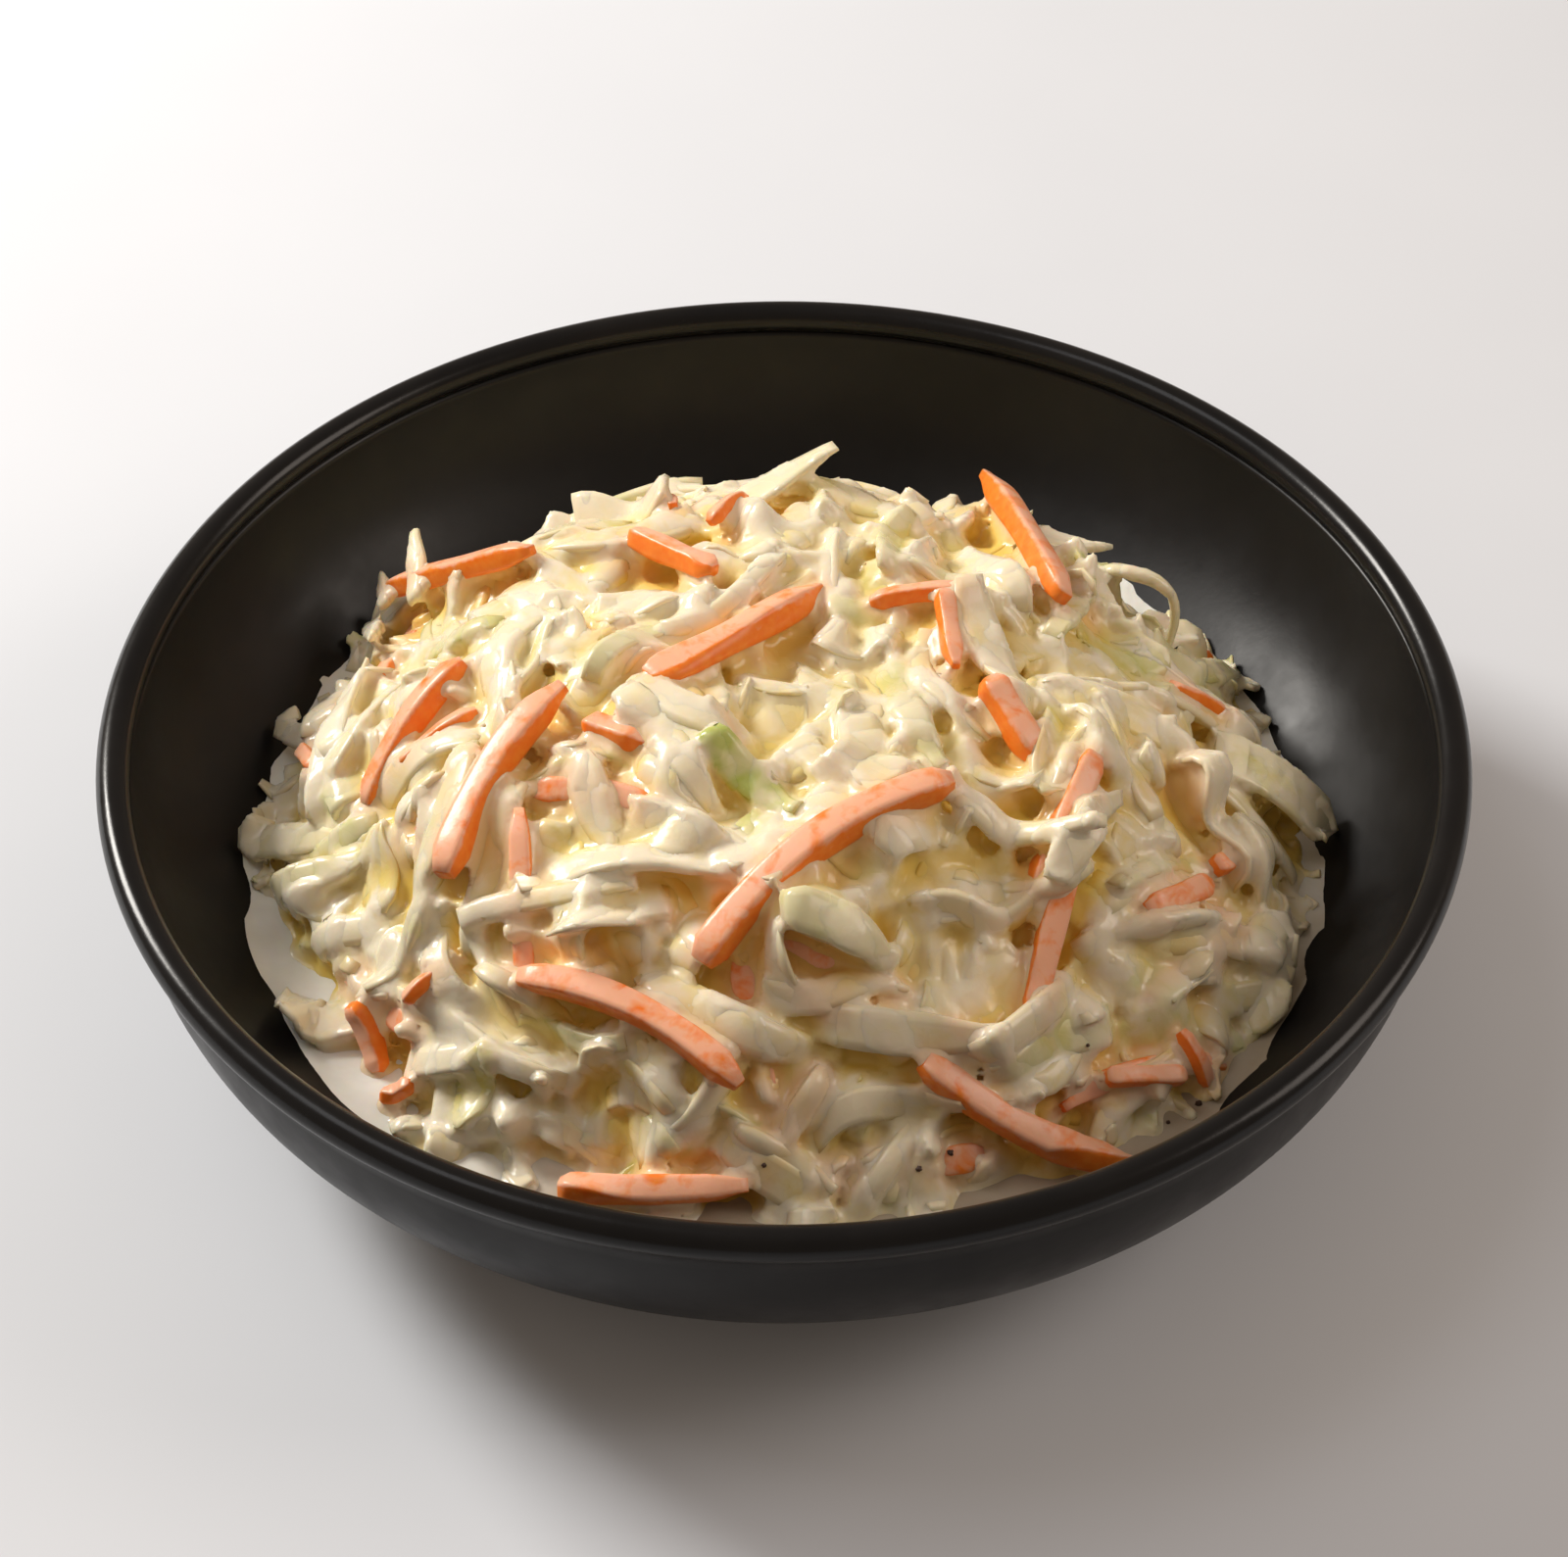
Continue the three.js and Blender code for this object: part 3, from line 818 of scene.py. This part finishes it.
def make_object(name, points, faces):
    mesh = bpy.data.meshes.new(name)
    mesh.from_pydata((np.asarray(points) * MM).tolist(), [], faces)
    mesh.validate()
    mesh.shade_smooth()
    made = bpy.data.objects.new(name, mesh)
    bpy.context.scene.collection.objects.link(made)
    return made


def face_list(quads, triangles):
    return [*quads.tolist(), *triangles.tolist()]


def set_attribute(mesh, name, values):
    attribute = mesh.attributes.new(name, "FLOAT", "POINT")
    attribute.data.foreach_set("value", np.asarray(values, np.float32))


def read_vectors(items, name):
    values = np.zeros(len(items) * 3, np.float32)
    items.foreach_get(name, values)
    return values.reshape(-1, 3).astype(float)


def neighbours(grid):
    """The grid, and the grid moved by one cell in each of four directions."""
    padded = np.pad(grid, 1, mode="edge")
    moved = [padded[:-2, 1:-1], padded[2:, 1:-1], padded[1:-1, :-2], padded[1:-1, 2:]]
    return padded[1:-1, 1:-1], moved


def eroded(grid, times):
    for _ in range(times):
        middle, moved = neighbours(grid)
        grid = np.minimum.reduce([middle, *moved])
    return grid


def blurred(grid, times):
    for _ in range(times):
        middle, moved = neighbours(grid)
        grid = sum(moved, 4 * middle) / 8
    return grid


def core_mesh(pile):
    """What lies under the visible shreds: a closed body whose top follows the pile, a little lower."""
    under = blurred(eroded(pile.height, 3), 3) - SKIN
    under = np.maximum(under, np.maximum(-CORE_DEPTH, pile.floor - 0.6))
    rings = int(FOOT / (2 * CELL)) + 1
    angle = directions(CORE_TURNS)
    distance = np.linspace(CELL, FOOT - 0.5, rings - 1)[:, None]
    u, v = distance * np.cos(angle), distance * np.sin(angle)
    top = lifted(u, v, under[pile.index(u, v)]).reshape(-1, 3)
    low = around(heap_radius(angle), UNDERSIDE, angle)
    zero = np.zeros(1)
    centre = lifted(zero, zero, under[pile.index(zero, zero)])
    points = np.concatenate([top, low, centre, [[0, 0, UNDERSIDE]]])
    return points, ring_quads(rings, CORE_TURNS)[:, [0, 3, 2, 1]], end_fans(rings, CORE_TURNS)


def slab_mesh():
    """A flat disc under the dressing's surface, for the shreds' feet to blend into."""
    height = LEVEL - SLAB_DEPTH
    top = around(inner_wall_radius(height) - 0.6, height, directions(SLAB_TURNS))
    low = top * (0.96, 0.96, 1)
    low[:, 2] = UNDERSIDE
    points = np.concatenate([top, low, [[0, 0, height], [0, 0, UNDERSIDE]]])
    return points, ring_quads(2, SLAB_TURNS)[:, ::-1], end_fans(2, SLAB_TURNS)


def level_set(points, quads, triangles=()):
    return vdb.FloatGrid.createLevelSetFromPolygons(
        np.asarray(points, np.float32),
        triangles=np.asarray(triangles, np.uint32).reshape(-1, 3),
        quads=np.asarray(quads, np.uint32),
        transform=vdb.createLinearTransform(voxelSize=VOXEL),
        halfWidth=FILLET / VOXEL + 2,
    )


def closed_over(parts):
    """All parts as one surface, with every crevice narrower than twice the fillet filled."""
    points, quads, triangles = zip(*parts)
    firsts = np.cumsum([0, *(len(part) for part in points)])
    quads = np.concatenate([part + first for part, first in zip(quads, firsts)])
    triangles = np.concatenate([part + first for part, first in zip(triangles, firsts)])
    grown = level_set(np.concatenate(points), quads, triangles).convertToQuads(FILLET)
    points, quads = level_set(*grown).convertToQuads(-FILLET)
    return points.astype(float), quads.astype(int)


def largest_part(points, quads):
    """The connected surface with the most points: hollows sealed inside are dropped."""
    parent = np.arange(len(points))
    edges = np.concatenate([quads[:, [0, 1]], quads[:, [1, 2]], quads[:, [2, 3]]])
    before = np.zeros_like(parent)
    while not np.array_equal(before, parent):
        before = parent.copy()
        low = np.minimum(parent[edges[:, 0]], parent[edges[:, 1]])
        np.minimum.at(parent, edges[:, 0], low)
        np.minimum.at(parent, edges[:, 1], low)
        parent = parent[parent]
        parent = parent[parent]
    roots, counts = np.unique(parent, return_counts=True)
    keep = parent == roots[np.argmax(counts)]
    number = np.cumsum(keep) - 1
    return points[keep], number[quads[keep[quads[:, 0]]]]


def nearest(tree, points, reach):
    """Distance to a surface and the face that is nearest, or -1 past the reach, for each point."""
    distances = np.full(len(points), reach)
    faces = np.full(len(points), -1)
    for number, point in enumerate(points):
        _, _, face, distance = tree.find_nearest(Vector(point), reach)
        if face is not None:
            distances[number] = distance
            faces[number] = face
    return distances, faces


def thin(made, triangles):
    """Bring the object's mesh down to about that many triangles, if it has more."""
    count = sum(len(polygon.vertices) - 2 for polygon in made.data.polygons)
    if count > triangles:
        modifier = made.modifiers.new("thin", "DECIMATE")
        modifier.ratio = triangles / count
        graph = bpy.context.evaluated_depsgraph_get()
        mesh = bpy.data.meshes.new_from_object(made.evaluated_get(graph))
        made.modifiers.clear()
        made.data = mesh
        mesh.shade_smooth()


def showing(pieces, pile):
    """The pieces that aren't buried under later ones."""
    seen = []
    for piece in pieces:
        cells, top = piece.footprint(pile)
        if np.mean(top > pile.height[cells] - SHOWING_DEPTH) > SHOWING_SHARE:
            seen.append(piece)
    return seen


def relief(points, pile):
    """How far points stand over the pile's smoothed surface: ridges over 0, hollows under 0."""
    u, v = flat_place(points[:, 0], points[:, 1])
    height = np.sum((points - outline(u, v)) * outline_normal(u, v), -1)
    return height - pile.smooth[pile.index(u, v)]


def set_colouring(mesh, points, tint, green, carrot_distance, pile):
    """What the material of the slaw reads at each point."""
    set_attribute(mesh, "tint", tint)
    set_attribute(mesh, "green", green)
    set_attribute(mesh, "stain", 1 - ease(carrot_distance / STAIN_REACH))
    # The relief is what the slaw's material paints shade and glow into the hollows from
    set_attribute(mesh, "relief", relief(points, pile))


def cabbage_piece(strips, carrot_tree, pile):
    tubes = Tubes(strips)
    made = make_object("cabbage_strips", tubes.points, tubes.faces())
    carrot_distance, _ = nearest(carrot_tree, tubes.points, STAIN_REACH)
    tint, green = tubes.at_points("tint"), tubes.at_points("green")
    set_colouring(made.data, tubes.points, tint, green, carrot_distance, pile)
    return made


def carrot_piece(carrots):
    tubes = Tubes(carrots)
    made = make_object("carrot_batons", tubes.points, tubes.faces())
    set_attribute(made.data, "upper", tubes.upper)
    return made


def coat_piece(pile, strips, carrots):
    """Dressing over the pile: it fills the crevices, and covers the strips only in places."""
    strip_tubes = Tubes(strips)
    carrot_tubes = Tubes(carrots)
    parts = [(tubes.points, tubes.quads, tubes.caps) for tubes in (strip_tubes, carrot_tubes)]
    points, quads = largest_part(*closed_over([*parts, core_mesh(pile), slab_mesh()]))
    over_dressing = points[quads][:, :, 2].max(1) > LEVEL - COAT_DEPTH
    coat = make_object("slaw_coat", points, quads[over_dressing][:, ::-1].tolist())
    thin(coat, COAT_TRIANGLES)
    mesh = coat.data
    points = read_vectors(mesh.vertices, "co") / MM
    strip_distance, strip_face = nearest(strip_tubes.tree(), points, STAIN_REACH)
    carrot_tree = carrot_tubes.tree()
    carrot_distance, _ = nearest(carrot_tree, points, STAIN_REACH)
    x, y, z = points.T
    patches = smooth_field(PATCH_SIZE, PATCH_SEED)(x + 0.4 * z, y - 0.7 * z)
    over_strips = -UNCOVERED + (COVER + UNCOVERED) * ease((patches + 0.3) / 0.9)
    on_strip = 1 - ease((strip_distance - 0.1) / 0.5)
    on_carrot = 1 - ease((carrot_distance - 0.25) / 0.5)
    shift = over_strips * on_strip * (1 - on_carrot) - CARROT_UNCOVERED * on_carrot
    points = points + read_vectors(mesh.vertex_normals, "vector") * shift[:, None]
    mesh.vertices.foreach_set("co", (points * MM).astype(np.float32).ravel())
    tint = strip_tubes.at_faces("tint", strip_face, 0.5)
    green = strip_tubes.at_faces("green", strip_face, 0.0) * on_strip
    set_colouring(mesh, points, tint, green, carrot_distance, pile)
    mesh.update()
    return coat, carrot_tree


# ---- bowl, dressing and pepper


def wall_profile(wall_radius, flat_radius, low, power, angles):
    """The section of one face of the wall: 0 degrees is at the rim's level, and 90 at the flat."""
    return [
        (
            flat_radius + (wall_radius - flat_radius) * math.cos(a),
            RIM_HEIGHT - (RIM_HEIGHT - low) * math.sin(a) ** (2 / power),
        )
        for a in np.radians(angles)
    ]


def bowl_profile():
    """The bowl's section, from the middle of the underside round the rim to the middle of the floor."""
    foot = [
        (0.01, FOOT_RECESS), (20, FOOT_RECESS), (FOOT_INNER_RADIUS - 1.2, FOOT_RECESS),
        (FOOT_INNER_RADIUS - 0.6, FOOT_RECESS - 0.4), (FOOT_INNER_RADIUS, 0.4),
        (FOOT_INNER_RADIUS + 0.4, 0), (FOOT_OUTER_RADIUS - 0.5, 0), (FOOT_OUTER_RADIUS - 0.1, 0.3),
        (FOOT_OUTER_RADIUS, 0.8), (FOOT_OUTER_RADIUS, 2.6),
    ]
    outer = wall_profile(
        OUTER_WALL_RADIUS, OUTER_FLAT_RADIUS, BASE_HEIGHT, OUTER_WALL_POWER, np.linspace(84, 1.2, 40)
    )
    bead = [
        (BOWL_RADIUS - BEAD_RADIUS + BEAD_RADIUS * math.cos(a), RIM_HEIGHT + BEAD_RADIUS * math.sin(a))
        for a in np.radians(np.linspace(-52, 232, 28))
    ]
    inner = wall_profile(
        INNER_WALL_RADIUS, INNER_FLAT_RADIUS, FLOOR_HEIGHT, INNER_WALL_POWER, np.linspace(1.2, 90, 44)
    )
    return np.array([*foot, *outer, *bead, *inner, (20, FLOOR_HEIGHT), (0.01, FLOOR_HEIGHT)])


def turned(name, profile, sides):
    """A closed body turned about +Z from its profile."""
    points = around(profile[:, :1], profile[:, 1:], directions(sides)).reshape(-1, 3)
    numbers = list(range(len(points)))
    faces = [*ring_quads(len(profile), sides).tolist(), numbers[:sides][::-1], numbers[-sides:]]
    return make_object(name, points, faces)


def make_pepper(pile):
    """Small rough grains lying on the pile."""
    points, faces = [], []
    turn = directions(PEPPER_SIDES)
    rise = np.linspace(-1.2, 1.2, PEPPER_RINGS)[:, None]
    for number, (x, y, size) in enumerate(PEPPER):
        u, v = flat_place(np.array([x]), np.array([y]))
        centre = lifted(u, v, np.maximum(pile.read(u, v), pile.floor[pile.index(u, v)]) + 0.15 * size)
        reach = 0.5 * size * random.uniform(0.7, 1.15, (PEPPER_RINGS, PEPPER_SIDES))
        grain = around(reach * np.cos(rise), 0.8 * reach * np.sin(rise), turn)
        points.append(centre + [*grain.reshape(-1, 3), grain[0].mean(0), grain[-1].mean(0)])
        faces += face_list(*tube_faces(PEPPER_RINGS, PEPPER_SIDES, number * len(points[-1])))
    return make_object("pepper_specks", np.concatenate(points), faces)


def make_pool():
    """The dressing's surface, with slow waves, climbing the wall a little where it meets it."""
    angle = directions(POOL_TURNS)
    share = np.linspace(0, 1, POOL_RINGS)[:, None] ** 0.7
    climb = 0.5 + 0.5 * np.sin(3 * angle + 1) * np.sin(5 * angle + 2) + 0.3 * np.sin(17 * angle)
    top = LEVEL + 0.1 + np.clip(climb, 0.05, 1.3)
    reach = inner_wall_radius(top) + 0.15
    radius = POOL_START + (reach - POOL_START) * share
    waves = smooth_field(WAVE_SIZE, WAVE_SEED)
    height = LEVEL + WAVE_HEIGHT * waves(radius * np.cos(angle), radius * np.sin(angle))
    height = height + (top - LEVEL) * np.exp(-(reach - radius) / 1.3)
    quads = ring_quads(POOL_RINGS, POOL_TURNS)[:, [0, 3, 2, 1]]
    return make_object("dressing_pool", around(radius, height, angle).reshape(-1, 3), quads.tolist())


# ---- materials


class Shader:
    """A material with one Principled shader, and short ways to add nodes to it."""

    def __init__(self, name):
        self.material = bpy.data.materials.new(name)
        self.material.use_nodes = True
        self.tree = self.material.node_tree

    def put(self, socket, value):
        """Set a socket to a number or a colour, or link another node's output to it."""
        if isinstance(value, bpy.types.NodeSocket):
            self.tree.links.new(value, socket)
        elif isinstance(value, tuple) and socket.type == "RGBA":
            socket.default_value = (*value, 1)
        else:
            socket.default_value = value

    def node(self, kind, **values):
        """A new node. A value's name is an input's, with _ for each space, or a property's."""
        made = self.tree.nodes.new(kind)
        for key, value in values.items():
            socket = made.inputs.get(key.replace("_", " "))
            if socket is not None:
                self.put(socket, value)
            else:
                setattr(made, key, value)
        return made

    def set(self, **values):
        """Set or link the Principled shader's inputs."""
        surface = self.tree.nodes["Principled BSDF"]
        for key, value in values.items():
            self.put(surface.inputs[key.replace("_", " ")], value)

    def attribute(self, name):
        return self.node("ShaderNodeAttribute", attribute_name=name).outputs["Fac"]

    def place(self):
        return self.node("ShaderNodeTexCoord").outputs["Object"]

    def places(self):
        """The outputs X, Y and Z of the place in the object."""
        return self.node("ShaderNodeSeparateXYZ", Vector=self.place()).outputs

    def noise(self, size_mm, detail=2.0, roughness=0.5, distortion=0.0):
        """Noise from 0 to 1 with features of about that size."""
        return self.node(
            "ShaderNodeTexNoise", Vector=self.place(), Scale=1 / (size_mm * MM), Detail=detail,
            Roughness=roughness, Distortion=distortion,
        ).outputs["Fac"]

    def ranged(self, value, low, high, to_low=0.0, to_high=1.0):
        return self.node(
            "ShaderNodeMapRange", Value=value, From_Min=low, From_Max=high, To_Min=to_low, To_Max=to_high
        ).outputs["Result"]

    def math(self, operation, first, second):
        made = self.node("ShaderNodeMath", operation=operation)
        self.put(made.inputs[0], first)
        self.put(made.inputs[1], second)
        return made.outputs[0]

    def mixed(self, share, first, second):
        """A mix of two colours. The node's sockets for colours are 6 and 7, and output 2."""
        made = self.node("ShaderNodeMix", data_type="RGBA")
        self.put(made.inputs[0], share)
        self.put(made.inputs[6], first)
        self.put(made.inputs[7], second)
        return made.outputs[2]

    def bump(self, height, depth_mm, strength):
        return self.node(
            "ShaderNodeBump", Strength=strength, Distance=depth_mm * MM, Height=height
        ).outputs["Normal"]


def slaw_material(name, film_low, film_high, roughness, depth_mm):
    """Cabbage under a film of dressing: creamy on the ridges, and deep yellow in the hollows as painted
    shade and painted warm glow.
    """
    shader = Shader(name)
    height = shader.attribute("relief")
    green_patch = shader.ranged(shader.noise(7.0), 0.42, 0.58, 0.45, 1.0)
    green = shader.math("MULTIPLY", shader.attribute("green"), green_patch)
    leaf = shader.mixed(shader.ranged(shader.attribute("tint"), 0.1, 0.95), LEAF_PALE, LEAF_YELLOW)
    leaf = shader.mixed(green, leaf, LEAF_GREEN)
    film = shader.noise(4.0, detail=3, roughness=0.55, distortion=0.5)
    # Ridges take a little more of the pale film than hollows do, which adds to the painted shade below
    film = shader.math("ADD", film, shader.ranged(height, -1.2, 1.2, -0.16, 0.16))
    film = shader.ranged(film, 0.38, 0.60, film_low, film_high)
    bare = shader.math("SUBTRACT", 1.0, shader.math("MULTIPLY", green, 0.8))
    colour = shader.mixed(shader.math("MULTIPLY", film, bare), leaf, LEAF_FILM)
    # Painted shade and painted warm glow: the hollows under the smoothed pile turn deep yellow
    colour = shader.mixed(shader.ranged(height, 0.3, -1.9, 0.0, 0.88), colour, LEAF_HOLLOW_PAINTED_SHADE)
    colour = shader.mixed(shader.math("MULTIPLY", shader.attribute("stain"), 0.4), colour, LEAF_STAIN)
    shader.set(
        Base_Color=colour,
        Roughness=shader.ranged(shader.noise(5.0), 0.35, 0.65, roughness, roughness + 0.12),
        Normal=shader.bump(shader.noise(1.6), 0.1, 0.5),
        Subsurface_Weight=0.4,
        Subsurface_Radius=(1.0, 0.66, 0.32),
        Subsurface_Scale=depth_mm * MM,
        IOR=1.42,
    )
    return shader.material


def carrot_material():
    """Orange, with a film of dressing that is thicker on the upper side."""
    shader = Shader("carrot")
    film = shader.noise(3.2, detail=3, roughness=0.6, distortion=0.4)
    film = shader.math("ADD", film, shader.ranged(shader.attribute("upper"), 0.5, 0.9, -0.22, 0.14))
    film = shader.ranged(film, 0.42, 0.64, 0.0, 0.85)
    grain = shader.noise(1.2)
    bare = shader.mixed(shader.ranged(grain, 0.3, 0.7), CARROT_DEEP, CARROT_BRIGHT)
    shader.set(
        Base_Color=shader.mixed(film, bare, CARROT_FILM),
        Roughness=0.3,
        Normal=shader.bump(grain, 0.1, 0.5),
        Subsurface_Weight=0.3,
        Subsurface_Radius=(1.0, 0.35, 0.12),
        Subsurface_Scale=0.9 * MM,
        IOR=1.4,
    )
    return shader.material


def dressing_material():
    """Off-white, with painted shade that darkens it towards the front and the right, where the heap's
    shadow falls.
    """
    shader = Shader("creamy_dressing")
    places = shader.places()
    # Painted shade: darker towards the front and the right, where the heap's shadow falls on the dressing
    to_right = shader.math("MULTIPLY", places["X"], 0.45)
    painted_shade = shader.ranged(shader.math("SUBTRACT", to_right, places["Y"]), 26 * MM, 52 * MM, 0.0, 0.85)
    patch = shader.ranged(shader.noise(6.0), 0.35, 0.65)
    colour = shader.mixed(patch, DRESSING_PALE, DRESSING_WARM)
    shader.set(
        Base_Color=shader.mixed(painted_shade, colour, DRESSING_PAINTED_SHADE),
        Roughness=0.13,
        Normal=shader.bump(shader.noise(3.0), 0.3, 0.6),
        Subsurface_Weight=0.3,
        Subsurface_Radius=(1.0, 0.7, 0.4),
        Subsurface_Scale=1.5 * MM,
        IOR=1.42,
    )
    return shader.material


def pepper_material():
    shader = Shader("pepper")
    shader.set(Base_Color=shader.mixed(shader.noise(0.8), PEPPER_BLACK, PEPPER_BROWN), Roughness=0.5)
    return shader.material


def glaze_material():
    """Satin black, more polished on the rim."""
    shader = Shader("black_glaze")
    cloud = shader.ranged(shader.noise(22.0, detail=4, roughness=0.6), 0.35, 0.65)
    rough = shader.ranged(shader.noise(9.0, detail=3, roughness=0.6), 0.3, 0.7, 0.33, 0.46)
    rim_start = (RIM_HEIGHT - RIM_DEPTH) * MM
    rim = shader.ranged(shader.places()["Z"], rim_start, RIM_HEIGHT * MM, 1.0, RIM_POLISH)
    shader.set(
        Base_Color=shader.mixed(cloud, GLAZE_DARK, GLAZE_LIGHT),
        Roughness=shader.math("MULTIPLY", rough, rim),
        Normal=shader.bump(shader.noise(1.1), 0.03, 0.35),
        IOR=1.5,
        Specular_IOR_Level=0.24,
    )
    return shader.material


def floor_material():
    shader = Shader("pale_floor")
    patch = shader.noise(60.0, detail=3)
    shader.set(Base_Color=shader.mixed(patch, FLOOR_DARK, FLOOR_LIGHT), Roughness=0.75)
    return shader.material


# ---- stage


def make_stage():
    bpy.ops.mesh.primitive_plane_add(size=STAGE_SIZE, location=(0, 0, 0))
    floor = bpy.context.object
    floor.name = "floor"
    floor.data.materials.append(floor_material())

    world = bpy.data.worlds.new("studio")
    world.use_nodes = True
    background = world.node_tree.nodes["Background"]
    background.inputs["Color"].default_value = WORLD_COLOUR
    background.inputs["Strength"].default_value = WORLD_STRENGTH
    scene = bpy.context.scene
    scene.world = world

    for name, place, power, size, colour in LIGHTS:
        light = bpy.data.lights.new(name, "AREA")
        light.energy = power
        light.size = size
        light.color = colour
        lamp = bpy.data.objects.new(name, light)
        lamp.location = place
        lamp.rotation_euler = (Vector(LIGHT_AIM) - Vector(place)).to_track_quat("-Z", "Y").to_euler()
        scene.collection.objects.link(lamp)

    lens = bpy.data.cameras.new("camera")
    lens.lens = CAMERA_LENS
    lens.sensor_width = CAMERA_SENSOR
    camera = bpy.data.objects.new("camera", lens)
    camera.location = CAMERA_PLACE
    camera.rotation_euler = (math.radians(CAMERA_TILT), 0, 0)
    scene.collection.objects.link(camera)
    scene.camera = camera
    scene.view_settings.view_transform = "Standard"


def finish_piece(made, material, slot, *nodes):
    made.data.materials.append(material)
    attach(made, "root")
    if nodes:
        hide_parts(*nodes)


def main():
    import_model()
    pile, strips, scraps, carrots = make_pile()
    coat, carrot_tree = coat_piece(pile, strips + scraps, carrots)
    finish_piece(coat, slaw_material("dressing_on_slaw", 0.3, 0.95, 0.18, 1.3), "slaw_mix", "slaw")
    cabbage = cabbage_piece(showing(strips, pile), carrot_tree, pile)
    finish_piece(cabbage, slaw_material("cabbage", 0.0, 0.72, 0.2, 0.45), "slaw_mix")
    finish_piece(carrot_piece(showing(carrots, pile)), carrot_material(), "slaw_mix")
    bowl = turned("stoneware_bowl", bowl_profile(), BOWL_SIDES)
    finish_piece(bowl, glaze_material(), "black_glaze", "bowl")
    finish_piece(make_pool(), dressing_material(), "cream", "dressing")
    finish_piece(make_pepper(pile), pepper_material(), "slaw_mix")
    make_stage()


main()
